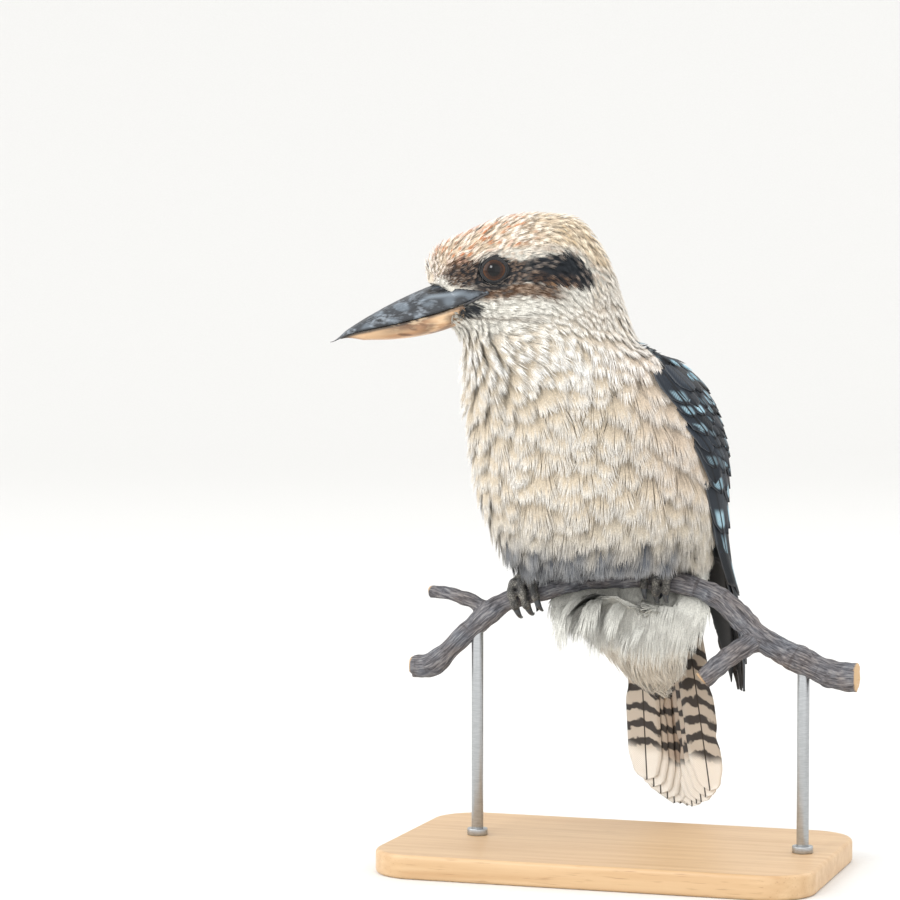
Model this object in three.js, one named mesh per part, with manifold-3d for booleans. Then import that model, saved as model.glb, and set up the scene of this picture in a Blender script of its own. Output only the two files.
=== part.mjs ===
// A laughing kookaburra at life size, perched on a cut length of branch that two rods hold over a flat base.
// Millimetres, +Z up. The trunk faces -Y, the bird's left is +X, and the head is turned to the bird's right.
import * as THREE from 'three';
import { mergeVertices } from 'three/addons/utils/BufferGeometryUtils.js';
import Module from 'manifold-3d';

const wasm = await Module();
wasm.setup();

// Driving dimensions
const GAP = 0.35; // air between neighbouring pieces
const BASE_LENGTH = 222;
const BASE_DEPTH = 136;
const BASE_THICKNESS = 12;
const BASE_CORNER = 22;
const BASE_BEVEL = 2;
const ROD_RADIUS = 3;
const ROD_SINK = 7; // how deep a rod stands in the base
const ROD_PLACES = [-61, 107]; // along the perch, from the point between the feet
const PERCH_TURN = THREE.MathUtils.degToRad(20); // of the perch against the trunk's width
const HEAD_TURN = THREE.MathUtils.degToRad(37); // to the bird's right
const HEAD_CENTRE = new THREE.Vector3(-4, -48.5, 295.8);
const EYE_RADIUS = 8.2;
const EYE_PLACE = { forward: 22.4, side: 17.3, up: 2.4 };
const TOE_RADIUS = 2.5;
const TOE_CLEARANCE = 0.9; // for the bark's knobs
const CLAW_LENGTH = 8.8;
const CLAW_RADIUS = 1.75;
const PALM = { across: 5.6, ahead: 5, thick: 3 }; // half sizes
const SHANK_LENGTH = 23;
const SHANK_RADIUS = 3.3;
const FEET_PLACES = { right: -34, left: 34 }; // along the perch
const TAIL_ROOT = new THREE.Vector3(1, 56, 153);
const TAIL_LENGTH = 142;
const TAIL_HALVES = { root: 20, end: 27 };
const TAIL_THICKNESS = 5;
const TAIL_ROUND = 16; // how deep the tail's round end is
const TAIL_LEAN = THREE.MathUtils.degToRad(15);
const TAIL_SWING = THREE.MathUtils.degToRad(4); // towards the bird's right
const WING_LIFT = 1.8; // of a wing's middle off the sheath that it lies on
const BLEND = 9; // how softly the masses of plumage run into each other
const UP = new THREE.Vector3(0, 0, 1);

// The perch's middle line: places along it and their heights over the floor.
const PERCH_HEIGHTS = [
  [-90, 97], [-66, 115.5], [-49, 130], [-34, 135.5], [-14, 141.5], [6, 145], [30, 145],
  [50, 142.5], [66, 135.5], [86, 117.5], [104, 108], [128, 100],
];
const PERCH_RADII = { left: 5.8, middle: 5.1, right: 7.3 };
const BASE_MIDDLE = 12; // along the perch, from the point between the feet
const perchDirection = new THREE.Vector3(Math.cos(PERCH_TURN), Math.sin(PERCH_TURN), 0);

// The trunk's level sections from neck to undertail: the middle's y, the half width,
// and how far each reaches forwards and back.
const TRUNK_SECTIONS = [
  { z: 289, y: -44, side: 26, front: 28, back: 27 },
  { z: 265, y: -41, side: 40, front: 43, back: 43 },
  { z: 251, y: -20, side: 52, front: 57, back: 54 },
  { z: 235, y: -10, side: 58, front: 61, back: 58 },
  { z: 210, y: -1, side: 61, front: 63, back: 60 },
  { z: 181, y: 5, side: 59, front: 61, back: 57 },
  { z: 159, y: 11, side: 54, front: 50, back: 52 },
  { z: 143, y: 20, side: 47, front: 36, back: 42 },
  { z: 125, y: 30, side: 37, front: 34, back: 30 },
  { z: 104, y: 46, side: 26, front: 21, back: 16 },
  { z: 86, y: 57, side: 15, front: 9, back: 7 },
  { z: 76, y: 62, side: 3, front: 2, back: 2 },
];

// What the folded wings lie on: the trunk, and past it a sheath that narrows towards the wing tips.
const SHEATH_SECTIONS = [
  { z: 289, y: -34, side: 34, front: 36, back: 34 },
  { z: 266, y: -28, side: 41, front: 45, back: 42 },
  { z: 251, y: -18, side: 52, front: 57, back: 52 },
  { z: 235, y: -10, side: 58, front: 61, back: 57 },
  { z: 210, y: -1, side: 61, front: 63, back: 60 },
  { z: 181, y: 5, side: 59, front: 61, back: 58 },
  { z: 159, y: 13, side: 56, front: 54, back: 54 },
  { z: 129, y: 32, side: 50, front: 46, back: 45 },
  { z: 99, y: 54, side: 42, front: 34, back: 33 },
  { z: 73, y: 68, side: 36, front: 24, back: 25 },
];

// A wing's edges round the sheath, in degrees from straight ahead, and how thick it is.
const WING_SECTIONS = [
  { z: 265, lead: 112, trail: 120, thick: 2 },
  { z: 257, lead: 95, trail: 141, thick: 6 },
  { z: 245, lead: 87, trail: 157, thick: 8.5 },
  { z: 229, lead: 90, trail: 165, thick: 9 },
  { z: 209, lead: 98, trail: 170, thick: 9 },
  { z: 185, lead: 106, trail: 173, thick: 8.5 },
  { z: 161, lead: 111, trail: 172, thick: 7.5 },
  { z: 135, lead: 116, trail: 166, thick: 7 },
  { z: 107, lead: 122, trail: 155, thick: 5 },
  { z: 81, lead: 130, trail: 141, thick: 3 },
];

// The bill's side view in the head's own frame, from its root to its tip.
const BILL_SECTIONS = [
  { forward: 24, culmen: 1, cut: -8, keel: -19, half: 13.6 },
  { forward: 36, culmen: -1, cut: -13, keel: -23.6, half: 13.8 },
  { forward: 47, culmen: -4, cut: -17, keel: -27.2, half: 12.6 },
  { forward: 58, culmen: -8.2, cut: -20.2, keel: -29.4, half: 10.6 },
  { forward: 70, culmen: -13.8, cut: -23.2, keel: -30.6, half: 8 },
  { forward: 81, culmen: -19.7, cut: -25.6, keel: -30.8, half: 5.6 },
  { forward: 91, culmen: -25.6, cut: -28, keel: -31, half: 3.2 },
  { forward: 100, culmen: -31.6, cut: -32, keel: -32.2, half: 0.3 },
];
const LOWER_BILL_END = 95; // the upper bill's point hangs over it

// The masses of the head's plumage in its own frame: forward, side, up.
const HEAD_MASSES = [
  { at: [1, 0, 0], size: [36, 28, 27] }, // skull
  { at: [27, 0, 0.5], size: [28.5, 17, 22] }, // forehead and lores
  { at: [-2.5, 0, 11], size: [31.5, 23, 20.5] }, // crown
  { at: [-17, 0, 15], size: [12.5, 17, 15] }, // raised hind crown
  { at: [-21, 0, -7], size: [23, 25, 25] }, // nape
  { at: [-25, 2, -26], size: [26, 27, 27] }, // hind neck
  { at: [22, 0, -16.5], size: [29, 15, 11] }, // chin
  { at: [0, 0, -13], size: [32, 29, 20] }, // cheeks
];

const material = (color, roughness, metalness = 0) =>
  new THREE.MeshStandardMaterial({ color, roughness, metalness });
const creamPlumage = material(0xe4d8c4, 0.9);
const headPlumage = material(0xd9c2a2, 0.9);
const wingPlumage = material(0x39424c, 0.8);
const tailPlumage = material(0x9a6f4c, 0.85);
const darkHorn = material(0x2f3136, 0.4);
const paleHorn = material(0xd2a46c, 0.4);
const eyeBrown = material(0x2a1408, 0.08);
const footSkin = material(0x8a7a5c, 0.6);
const clawHorn = material(0x2c2a28, 0.35);
const bark = material(0x74655b, 0.9);
const standWood = material(0xb99a72, 0.5);
const standSteel = material(0x9da0a3, 0.35, 0.9);

// Smooth curves through the tables above

function readSections(sections, key, value) {
  const rising = sections[0][key] < sections[sections.length - 1][key];
  const list = rising ? sections : [...sections].reverse();
  const last = list.length - 1;
  const found = list.findIndex((row) => row[key] >= value);
  const next = found < 0 ? last : Math.max(1, found);
  const [a, b] = [list[next - 1], list[next]];
  const [before, after] = [list[Math.max(0, next - 2)], list[Math.min(last, next + 1)]];
  const share = THREE.MathUtils.clamp((value - a[key]) / (b[key] - a[key]), 0, 1);
  const result = {};
  for (const name of Object.keys(a)) {
    const span = b[key] - a[key];
    const slopeA = a === before ? 0 : ((b[name] - before[name]) / (b[key] - before[key])) * span;
    const slopeB = b === after ? 0 : ((after[name] - a[name]) / (after[key] - a[key])) * span;
    const s2 = share * share;
    const s3 = s2 * share;
    result[name] = (2 * s3 - 3 * s2 + 1) * a[name] + (s3 - 2 * s2 + share) * slopeA
      + (3 * s2 - 2 * s3) * b[name] + (s3 - s2) * slopeB;
  }
  return result;
}

const perchRows = PERCH_HEIGHTS.map(([along, height]) => ({ along, height }));

function perchPoint(along) {
  const { height } = readSections(perchRows, 'along', along);
  return perchDirection.clone().multiplyScalar(along).setZ(height);
}

// Solids

function solidFrom(geometry) {
  const bare = geometry.index ? geometry.toNonIndexed() : geometry.clone();
  for (const name of Object.keys(bare.attributes)) if (name !== 'position') bare.deleteAttribute(name);
  const merged = mergeVertices(bare, 1e-4);
  const build = (triVerts) => new wasm.Manifold(new wasm.Mesh({
    numProp: 3,
    vertProperties: new Float32Array(merged.attributes.position.array),
    triVerts,
  }));
  const triVerts = new Uint32Array(merged.index.array);
  const solid = build(triVerts);
  return solid.volume() < 0 ? build(triVerts.reverse()) : solid;
}

function meshFrom(name, solid, meshMaterial) {
  const { vertProperties, triVerts } = solid.getMesh();
  const geometry = new THREE.BufferGeometry();
  geometry.setAttribute('position', new THREE.BufferAttribute(vertProperties, 3));
  geometry.setIndex(new THREE.BufferAttribute(triVerts, 1));
  geometry.computeVertexNormals();
  const mesh = new THREE.Mesh(geometry, meshMaterial);
  mesh.name = name;
  return mesh;
}

// A ball whose points go where place(share from pole to pole, angle round it) says.
function loft(around, along, place) {
  const geometry = new THREE.SphereGeometry(1, around, along);
  const spots = geometry.attributes.position;
  const at = new THREE.Vector3();
  for (let i = 0; i < spots.count; i += 1) {
    at.fromBufferAttribute(spots, i);
    const share = Math.acos(THREE.MathUtils.clamp(at.y, -1, 1)) / Math.PI;
    const spot = place(share, Math.atan2(at.z, at.x), at);
    spots.setXYZ(i, spot.x, spot.y, spot.z);
  }
  return solidFrom(geometry);
}

// A tube with closed ends along points(share), with radius(share), grown all round by spare.
function tube(points, radius, around, along, reference, spare = 0) {
  return loft(around, along, (share, angle) => {
    const middle = points(share);
    const step = 0.01;
    const run = points(Math.min(1, share + step)).sub(points(Math.max(0, share - step))).normalize();
    const across = new THREE.Vector3().crossVectors(run, reference).normalize();
    const over = new THREE.Vector3().crossVectors(across, run);
    if (share <= 0) return middle.addScaledVector(run, -spare);
    if (share >= 1) return middle.addScaledVector(run, spare);
    const size = radius(share) + spare;
    return middle
      .addScaledVector(across, size * Math.cos(angle))
      .addScaledVector(over, size * Math.sin(angle));
  });
}

// The part of a solid on the side of a plane that its normal points to.
function keepAbove(solid, point, normal, gap = 0) {
  const unit = normal.clone().normalize();
  return solid.trimByPlane([unit.x, unit.y, unit.z], unit.dot(point) + gap / 2);
}

const keepBelow = (solid, point, normal, gap = 0) => keepAbove(solid, point, normal.clone().negate(), gap);

// The head's frame

const headForward = new THREE.Vector3(-Math.sin(HEAD_TURN), -Math.cos(HEAD_TURN), 0);
const headLeft = new THREE.Vector3().crossVectors(UP, headForward);

function fromHead(forward, side, up) {
  return HEAD_CENTRE.clone()
    .addScaledVector(headForward, forward)
    .addScaledVector(headLeft, side)
    .addScaledVector(UP, up);
}

// The plumage as one soft field: below zero inside, above zero outside

function ballDistance(x, y, z, [rx, ry, rz]) {
  const near = Math.hypot(x / rx, y / ry, z / rz);
  const slope = Math.hypot(x / rx ** 2, y / ry ** 2, z / rz ** 2);
  return slope < 1e-9 ? -Math.min(rx, ry, rz) : (near * (near - 1)) / slope;
}

function softUnion(a, b, width) {
  const share = THREE.MathUtils.clamp(0.5 + (0.5 * (b - a)) / width, 0, 1);
  return b + (a - b) * share - width * share * (1 - share);
}

// The trunk by itself, cut off level at both ends.
function trunkDistance(p) {
  const top = TRUNK_SECTIONS[0].z;
  const bottom = TRUNK_SECTIONS[TRUNK_SECTIONS.length - 1].z;
  const row = readSections(TRUNK_SECTIONS, 'z', THREE.MathUtils.clamp(p.z, bottom, top));
  const dy = p.y - row.y;
  const around = ballDistance(p.x, dy, 0, [row.side, dy < 0 ? row.front : row.back, 1]);
  return Math.max(around, p.z - top, bottom - p.z);
}

function plumage(p) {
  const local = p.clone().sub(HEAD_CENTRE);
  const [forward, side, up] = [local.dot(headForward), local.dot(headLeft), local.z];
  let distance = trunkDistance(p);
  for (const { at, size } of HEAD_MASSES) {
    distance = softUnion(distance, ballDistance(forward - at[0], side - at[1], up - at[2], size), BLEND);
  }
  return distance;
}

// Where a ray from inside the plumage comes out, no further than limit.
function wayOut(from, direction, limit) {
  const step = 1.5;
  let far = step;
  while (far < limit && plumage(from.clone().addScaledVector(direction, far)) < 0) far += step;
  let [low, high] = [far - step, Math.min(far, limit)];
  for (let i = 0; i < 14; i += 1) {
    const middle = (low + high) / 2;
    if (plumage(from.clone().addScaledVector(direction, middle)) < 0) low = middle;
    else high = middle;
  }
  return from.clone().addScaledVector(direction, low);
}

// The middle line that the body's level rings are drawn round, from the head down into the trunk.
function bodyMiddle(z) {
  const { y } = readSections(TRUNK_SECTIONS, 'z', Math.min(z, TRUNK_SECTIONS[0].z));
  const inHead = THREE.MathUtils.smoothstep(z, 251, 291);
  const below = new THREE.Vector3(0, y, z);
  return below.lerp(fromHead(-3, 0, 0).setZ(z), inHead);
}

// The whole plumage from crown to undertail, in level rings that stand closer at both ends.
function body() {
  const [around, rings, crowding] = [26, 40, 0.7];
  const crown = wayOut(fromHead(-3, 0, 0), UP, 60).z;
  const end = TRUNK_SECTIONS[TRUNK_SECTIONS.length - 1].z + 0.5;
  return loft(around, rings, (share, angle) => {
    const sunk = share - (crowding * Math.sin(2 * Math.PI * share)) / (2 * Math.PI);
    const middle = bodyMiddle(THREE.MathUtils.lerp(crown, end, sunk));
    if (share <= 0 || share >= 1) return middle;
    return wayOut(middle, new THREE.Vector3(Math.cos(angle), Math.sin(angle), 0), 110);
  });
}

// Pieces

function sheathPoint(z, degrees, lift) {
  const row = readSections(SHEATH_SECTIONS, 'z', z);
  const angle = THREE.MathUtils.degToRad(degrees);
  const reach = Math.cos(angle) > 0 ? row.front : row.back;
  return new THREE.Vector3((row.side + lift) * Math.sin(angle), row.y - (reach + lift) * Math.cos(angle), z);
}

// A folded wing, on the left for side 1 and on the right for -1, grown all round by spare.
function wing(side, spare) {
  const top = WING_SECTIONS[0].z + spare;
  const tip = WING_SECTIONS[WING_SECTIONS.length - 1].z - spare;
  const millimetre = 0.9; // degrees round the sheath
  return loft(14, 19, (share, angle) => {
    const z = THREE.MathUtils.lerp(top, tip, share);
    const row = readSections(WING_SECTIONS, 'z', z);
    const closed = share <= 0 || share >= 1 ? 0 : 1;
    const half = ((row.trail - row.lead) / 2 + spare * millimetre) * closed;
    const degrees = (row.lead + row.trail) / 2 + half * Math.cos(angle);
    const full = Math.sign(Math.sin(angle)) * Math.abs(Math.sin(angle)) ** 0.6;
    const spot = sheathPoint(z, degrees, WING_LIFT + (row.thick / 2 + spare) * full * closed);
    return spot.setX(side * spot.x);
  });
}

// The closed tail, a slab with a round end that leans back under the rump.
function tail(spare) {
  const [rootHalf, endHalf] = [TAIL_HALVES.root + spare, TAIL_HALVES.end + spare];
  const [shoulder, bend, end] = [TAIL_ROUND - TAIL_LENGTH, 4 - TAIL_LENGTH, -TAIL_LENGTH - spare];
  const outline = new THREE.Shape();
  outline.moveTo(-rootHalf, spare);
  outline.lineTo(-endHalf, shoulder);
  outline.bezierCurveTo(-endHalf, bend, -endHalf / 2, end, 0, end);
  outline.bezierCurveTo(endHalf / 2, end, endHalf, bend, endHalf, shoulder);
  outline.lineTo(rootHalf, spare);
  outline.closePath();
  const depth = TAIL_THICKNESS + 2 * spare;
  const [edge, inset] = [1, 1.5];
  const slab = new THREE.ExtrudeGeometry(outline, {
    depth: depth - 2 * edge, curveSegments: 8, bevelEnabled: true, bevelSegments: 1,
    bevelThickness: edge, bevelSize: inset, bevelOffset: -inset,
  });
  slab.translate(0, 0, edge - depth / 2);
  slab.rotateX(Math.PI / 2 + TAIL_LEAN);
  slab.rotateY(TAIL_SWING);
  slab.translate(TAIL_ROOT.x, TAIL_ROOT.y, TAIL_ROOT.z);
  return solidFrom(slab);
}

// The upper or lower bill, grown all round by spare.
function bill(upper, spare) {
  const root = BILL_SECTIONS[0].forward;
  const end = upper ? BILL_SECTIONS[BILL_SECTIONS.length - 1].forward : LOWER_BILL_END;
  const rings = 14;
  return loft(12, rings, (share, angle) => {
    const past = Math.max(0, share * rings - 1) / (rings - 1); // the root is cut off square
    const forward = THREE.MathUtils.lerp(root - spare, end + spare, 1 - (1 - past) ** 1.15);
    const row = readSections(BILL_SECTIONS, 'forward', Math.max(root, forward));
    const closed = share <= 0 || share >= 1 ? 0 : 1;
    const pinch = upper ? 1 : Math.min(1, ((1 - share) * 5) ** 0.6);
    const side = (row.half * (upper ? 1 : 0.94 * pinch) + spare) * Math.cos(angle);
    const height = Math.sin(angle);
    const edge = upper ? row.cut + GAP / 2 : row.cut - GAP / 2;
    const depth = (upper ? row.culmen : row.keel) - edge;
    const outward = upper ? height : -height;
    const rise = outward > 0 ? depth * outward ** 0.85 * (upper ? 1 : pinch) : 0;
    const grown = spare * THREE.MathUtils.clamp(height * 4, -1, 1);
    return fromHead(forward, side * closed, edge + (rise + grown) * closed);
  });
}

function eye(side, radius) {
  const middle = fromHead(EYE_PLACE.forward, side * EYE_PLACE.side, EYE_PLACE.up);
  return loft(12, 8, (share, angle, unit) => unit.clone().multiplyScalar(radius).add(middle));
}

// Toes round the perch: how far each spreads from the foot's middle and how many degrees round it goes.
const TOES = [
  { name: 'inner', beside: -5.6, sweep: 118, back: false },
  { name: 'middle', beside: 0.4, sweep: 140, back: false },
  { name: 'outer', beside: 5.7, sweep: 130, back: false },
  { name: 'hind', beside: -0.4, sweep: 112, back: true },
];

function perchFrame(along) {
  const step = 1;
  const run = perchPoint(along + step).sub(perchPoint(along - step)).normalize();
  const ahead = new THREE.Vector3().crossVectors(run, UP).normalize();
  return { run, ahead, above: new THREE.Vector3().crossVectors(ahead, run) };
}

function perchRadius(along) {
  const first = PERCH_HEIGHTS[0][0];
  const last = PERCH_HEIGHTS[PERCH_HEIGHTS.length - 1][0];
  const { left, middle, right } = PERCH_RADII;
  const [end, share] = along < 0 ? [left, along / first] : [right, along / last];
  const knobs = 0.35 * Math.sin(along / 5) + 0.25 * Math.sin(along / 2.3);
  return THREE.MathUtils.lerp(middle, end, share * share) + knobs;
}

// A point round the perch: degrees from its top, forwards or back, at reach from its middle line.
function roundPerch(along, degrees, reach, back) {
  const { ahead, above } = perchFrame(along);
  const turn = THREE.MathUtils.degToRad(degrees);
  return perchPoint(along)
    .addScaledVector(above, reach * Math.cos(turn))
    .addScaledVector(ahead, (back ? -1 : 1) * reach * Math.sin(turn));
}

function toe(foot, { beside, sweep, back }, mirror, spare) {
  const start = FEET_PLACES[foot] + beside * mirror * 0.35;
  const end = FEET_PLACES[foot] + beside * mirror;
  const line = (share) => {
    const along = THREE.MathUtils.lerp(start, end, Math.min(1, share * 2.2));
    const reach = perchRadius(along) + TOE_CLEARANCE + TOE_RADIUS + GAP;
    return roundPerch(along, sweep * share, reach, back);
  };
  const knuckles = (share) => (TOE_RADIUS + 0.22 * Math.cos(share * Math.PI * 7)) * (1.05 - 0.22 * share);
  return tube(line, knuckles, 6, 9, perchDirection, spare);
}

function claw(foot, { beside, sweep, back }, mirror, spare) {
  const along = FEET_PLACES[foot] + beside * mirror;
  const reach = perchRadius(along) + TOE_CLEARANCE + TOE_RADIUS + GAP;
  const step = THREE.MathUtils.radToDeg(CLAW_LENGTH / reach);
  const line = (share) => {
    const arch = 1.6 * Math.sin(share * 2.4);
    return roundPerch(along, sweep - 5 + step * share, reach + arch, back);
  };
  const taper = (share) => CLAW_RADIUS * (1 - share) ** 0.7 + 0.12;
  return tube(line, taper, 6, 5, perchDirection, spare);
}

// Where the sole of the foot lies on the perch.
function footMiddle(foot) {
  const along = FEET_PLACES[foot];
  return roundPerch(along, 0, perchRadius(along) + TOE_RADIUS + 1.5, false);
}

function shank(foot, spare) {
  const ankle = footMiddle(foot);
  const inwards = FEET_PLACES[foot] < 0 ? 5 : -5;
  const knee = ankle.clone().add(new THREE.Vector3(inwards, 5, SHANK_LENGTH));
  const line = (share) => ankle.clone().lerp(knee, share);
  const width = (share) => SHANK_RADIUS + 0.8 * Math.abs(share - 0.5);
  return tube(line, width, 8, 5, perchDirection, spare);
}

// The palm that the toes and the shank spring from.
function palm(foot, spare) {
  const { run, ahead, above } = perchFrame(FEET_PLACES[foot]);
  return loft(7, 4, (share, angle, unit) => footMiddle(foot)
    .addScaledVector(run, unit.x * (PALM.across + spare))
    .addScaledVector(ahead, unit.z * (PALM.ahead + spare))
    .addScaledVector(above, unit.y * (PALM.thick + spare)));
}

function leg(foot, mirror, spare) {
  const base = shank(foot, spare).add(palm(foot, spare));
  return TOES.reduce((whole, part) => whole.add(toe(foot, part, mirror, spare)), base);
}

// The branch: a bent main stem with the stubs of two cut side branches.
const perchEnds = [PERCH_HEIGHTS[0][0], PERCH_HEIGHTS[PERCH_HEIGHTS.length - 1][0]];
const STUBS = [
  { along: -54, towards: new THREE.Vector3(-33, -8, 9), radius: 3.5 },
  { along: 86, towards: new THREE.Vector3(-22, -20, -21), radius: 5.1 },
];

function perch(spare) {
  const stem = loft(10, 29, (share, angle) => {
    const sawn = THREE.MathUtils.clamp((share * 29 - 1) / 27, 0, 1); // both ends are cut off flat
    const along = THREE.MathUtils.lerp(perchEnds[0] - 6, perchEnds[1] + 6, sawn);
    const middle = perchPoint(THREE.MathUtils.clamp(along, ...perchEnds));
    const over = along - THREE.MathUtils.clamp(along, ...perchEnds);
    const { run, ahead, above } = perchFrame(along);
    const size = share <= 0 || share >= 1 ? 0 : perchRadius(along) + spare;
    return middle.addScaledVector(run, over)
      .addScaledVector(ahead, size * Math.sin(angle))
      .addScaledVector(above, size * Math.cos(angle));
  });
  return STUBS.reduce((whole, { along, towards, radius }) => {
    const root = perchPoint(along);
    const line = (share) => root.clone().addScaledVector(towards, share)
      .addScaledVector(UP, 2.5 * Math.sin(share * Math.PI));
    return whole.add(tube(line, (share) => radius * (1.12 - 0.2 * share), 8, 5, UP, spare));
  }, stem);
}

// The notch that the branch and the toes sit in under the belly, open towards the front.
function perchNotch() {
  const [from, to] = [-62, 62];
  const toeRoom = 2 * TOE_RADIUS + 1;
  return loft(10, 19, (share, angle) => {
    const along = THREE.MathUtils.lerp(from, to, share);
    const { ahead, above } = perchFrame(along);
    const inside = share > 0 && share < 1;
    const beside = Math.min(Math.abs(along - FEET_PLACES.left), Math.abs(along - FEET_PLACES.right));
    const room = 1.2 + toeRoom * THREE.MathUtils.smoothstep(17 - beside, 0, 7);
    const size = inside ? perchRadius(along) + room : 0;
    const forwards = inside && Math.sin(angle) > 0.01 ? 44 : 0;
    return perchPoint(along)
      .addScaledVector(ahead, size * Math.sin(angle) + forwards)
      .addScaledVector(above, size * Math.cos(angle));
  });
}

function base() {
  const corner = BASE_BEVEL + BASE_CORNER;
  const [right, back] = [BASE_LENGTH / 2 - corner, BASE_DEPTH / 2 - corner];
  const quarter = Math.PI / 2;
  const plan = new THREE.Shape();
  plan.absarc(right, -back, BASE_CORNER, -quarter, 0);
  plan.absarc(right, back, BASE_CORNER, 0, quarter);
  plan.absarc(-right, back, BASE_CORNER, quarter, 2 * quarter);
  plan.absarc(-right, -back, BASE_CORNER, 2 * quarter, 3 * quarter);
  plan.closePath();
  const slab = new THREE.ExtrudeGeometry(plan, {
    depth: BASE_THICKNESS - 2 * BASE_BEVEL, bevelEnabled: true, bevelThickness: BASE_BEVEL,
    bevelSize: BASE_BEVEL, bevelSegments: 1, curveSegments: 4,
  });
  slab.translate(0, 0, BASE_BEVEL);
  slab.rotateZ(PERCH_TURN);
  const { x, y } = perchDirection.clone().multiplyScalar(BASE_MIDDLE);
  slab.translate(x, y, 0);
  return solidFrom(slab);
}

function rod(along, spare) {
  const top = perchPoint(along).z;
  const foot = BASE_THICKNESS - ROD_SINK - spare;
  const shape = new THREE.CylinderGeometry(ROD_RADIUS + spare, ROD_RADIUS + spare, top - foot, 20);
  shape.rotateX(Math.PI / 2);
  const { x, y } = perchPoint(along);
  shape.translate(x, y, (top + foot) / 2);
  return solidFrom(shape);
}

// Putting the bird together

const plumes = body();
const headCut = { point: fromHead(0, 0, -25.5), normal: fromHead(0.3, 0, 1).sub(HEAD_CENTRE) };
const neckCut = { point: new THREE.Vector3(0, -36, 257), normal: new THREE.Vector3(0, -0.26, 1) };
const ventCut = { point: new THREE.Vector3(0, 20, 130), normal: new THREE.Vector3(0, 0.35, 1) };
const SIDES = { left: 1, right: -1 };

const eyeRoom = eye(1, EYE_RADIUS + GAP).add(eye(-1, EYE_RADIUS + GAP));
const billRoom = bill(true, 1.5 * GAP).add(bill(false, 1.5 * GAP));
const wingRoom = wing(1, GAP).add(wing(-1, GAP));
const legRoom = ['left', 'right'].reduce(
  (whole, foot) => whole.add(shank(foot, GAP)).add(palm(foot, GAP)),
  perchNotch(),
);
const perchRoom = perch(GAP);
const rodRoom = rod(ROD_PLACES[0], GAP).add(rod(ROD_PLACES[1], GAP));

const head = keepAbove(plumes, headCut.point, headCut.normal, GAP).subtract(billRoom).subtract(eyeRoom);
const belowHead = keepBelow(plumes, headCut.point, headCut.normal, GAP)
  .subtract(billRoom)
  .subtract(wingRoom);
const neck = keepAbove(belowHead, neckCut.point, neckCut.normal, GAP);
const belowNeck = keepBelow(belowHead, neckCut.point, neckCut.normal, GAP)
  .subtract(legRoom)
  .subtract(tail(GAP));
const trunk = keepAbove(belowNeck, ventCut.point, ventCut.normal, GAP);
const undertail = keepBelow(belowNeck, ventCut.point, ventCut.normal, GAP);

// A cut can leave crumbs, so a piece is its biggest body.
const biggest = (solid) => solid.decompose().sort((a, b) => b.volume() - a.volume())[0];

const group = new THREE.Group();
const put = (name, solid, finish) => group.add(meshFrom(name, biggest(solid), finish));
put('head', head, headPlumage);
put('neck', neck, creamPlumage);
put('trunk', trunk, creamPlumage);
put('undertail', undertail, creamPlumage);
put('tail', tail(0), tailPlumage);
put('bill_upper', bill(true, 0).subtract(eyeRoom), darkHorn);
put('bill_lower', bill(false, 0), paleHorn);
for (const [side, mirror] of Object.entries(SIDES)) {
  put(`eye_${side}`, eye(mirror, EYE_RADIUS), eyeBrown);
  put(`wing_${side}`, wing(mirror, 0), wingPlumage);
  put(`leg_${side}`, leg(side, mirror, 0), footSkin);
  for (const part of TOES) {
    const nail = claw(side, part, mirror, 0).subtract(leg(side, mirror, GAP));
    put(`claw_${side}_${part.name}`, nail, clawHorn);
  }
}
put('perch', perch(0), bark);
put('stand_base', base().subtract(rodRoom), standWood);
ROD_PLACES.forEach((along, index) => {
  put(`stand_rod_${index + 1}`, rod(along, 0).subtract(perchRoom), standSteel);
});

// The origin is the middle of the floor that the whole thing covers.
const middle = new THREE.Box3().setFromObject(group).getCenter(new THREE.Vector3());
group.position.set(-middle.x, -middle.y, 0);

export default group;
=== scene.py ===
"""A laughing kookaburra at life size on a cut length of branch, laid over its CAD frame.

Run as a script, this makes every piece in order. All shapes are worked out in millimetres
from the bird's own zero, under the middle of its feet, and only mesh_of turns them to metres.
"""
import itertools
import math

import bmesh
import bpy
import numpy as np
from bpy.props import FloatProperty, FloatVectorProperty, IntProperty, PointerProperty
from mathutils import Matrix, Vector
from mathutils.bvhtree import BVHTree


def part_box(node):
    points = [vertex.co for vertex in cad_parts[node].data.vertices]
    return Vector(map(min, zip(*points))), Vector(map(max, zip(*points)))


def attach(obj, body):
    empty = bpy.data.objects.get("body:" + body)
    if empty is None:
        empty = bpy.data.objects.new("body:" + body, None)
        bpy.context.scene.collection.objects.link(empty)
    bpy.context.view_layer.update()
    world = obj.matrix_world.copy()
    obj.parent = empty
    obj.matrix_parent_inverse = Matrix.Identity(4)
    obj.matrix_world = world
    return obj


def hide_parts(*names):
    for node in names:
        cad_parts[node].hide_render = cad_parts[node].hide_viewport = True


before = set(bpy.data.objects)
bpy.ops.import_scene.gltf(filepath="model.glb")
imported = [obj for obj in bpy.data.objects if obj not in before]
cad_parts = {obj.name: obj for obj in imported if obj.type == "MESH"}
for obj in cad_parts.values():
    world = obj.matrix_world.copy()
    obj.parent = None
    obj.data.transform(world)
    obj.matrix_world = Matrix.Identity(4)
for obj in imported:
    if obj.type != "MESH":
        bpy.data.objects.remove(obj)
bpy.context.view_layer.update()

bl_info = {
    "name": "Perched kookaburra",
    "version": (1, 0, 0),
    "blender": (4, 5, 0),
    "location": "3D View > Sidebar > Kookaburra",
    "description": "Lays skin, feathers, bill, eyes, feet, branch and stand over the CAD frame",
    "category": "Object",
}

MM = 0.001
UP = np.array([0.0, 0.0, 1.0])


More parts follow.
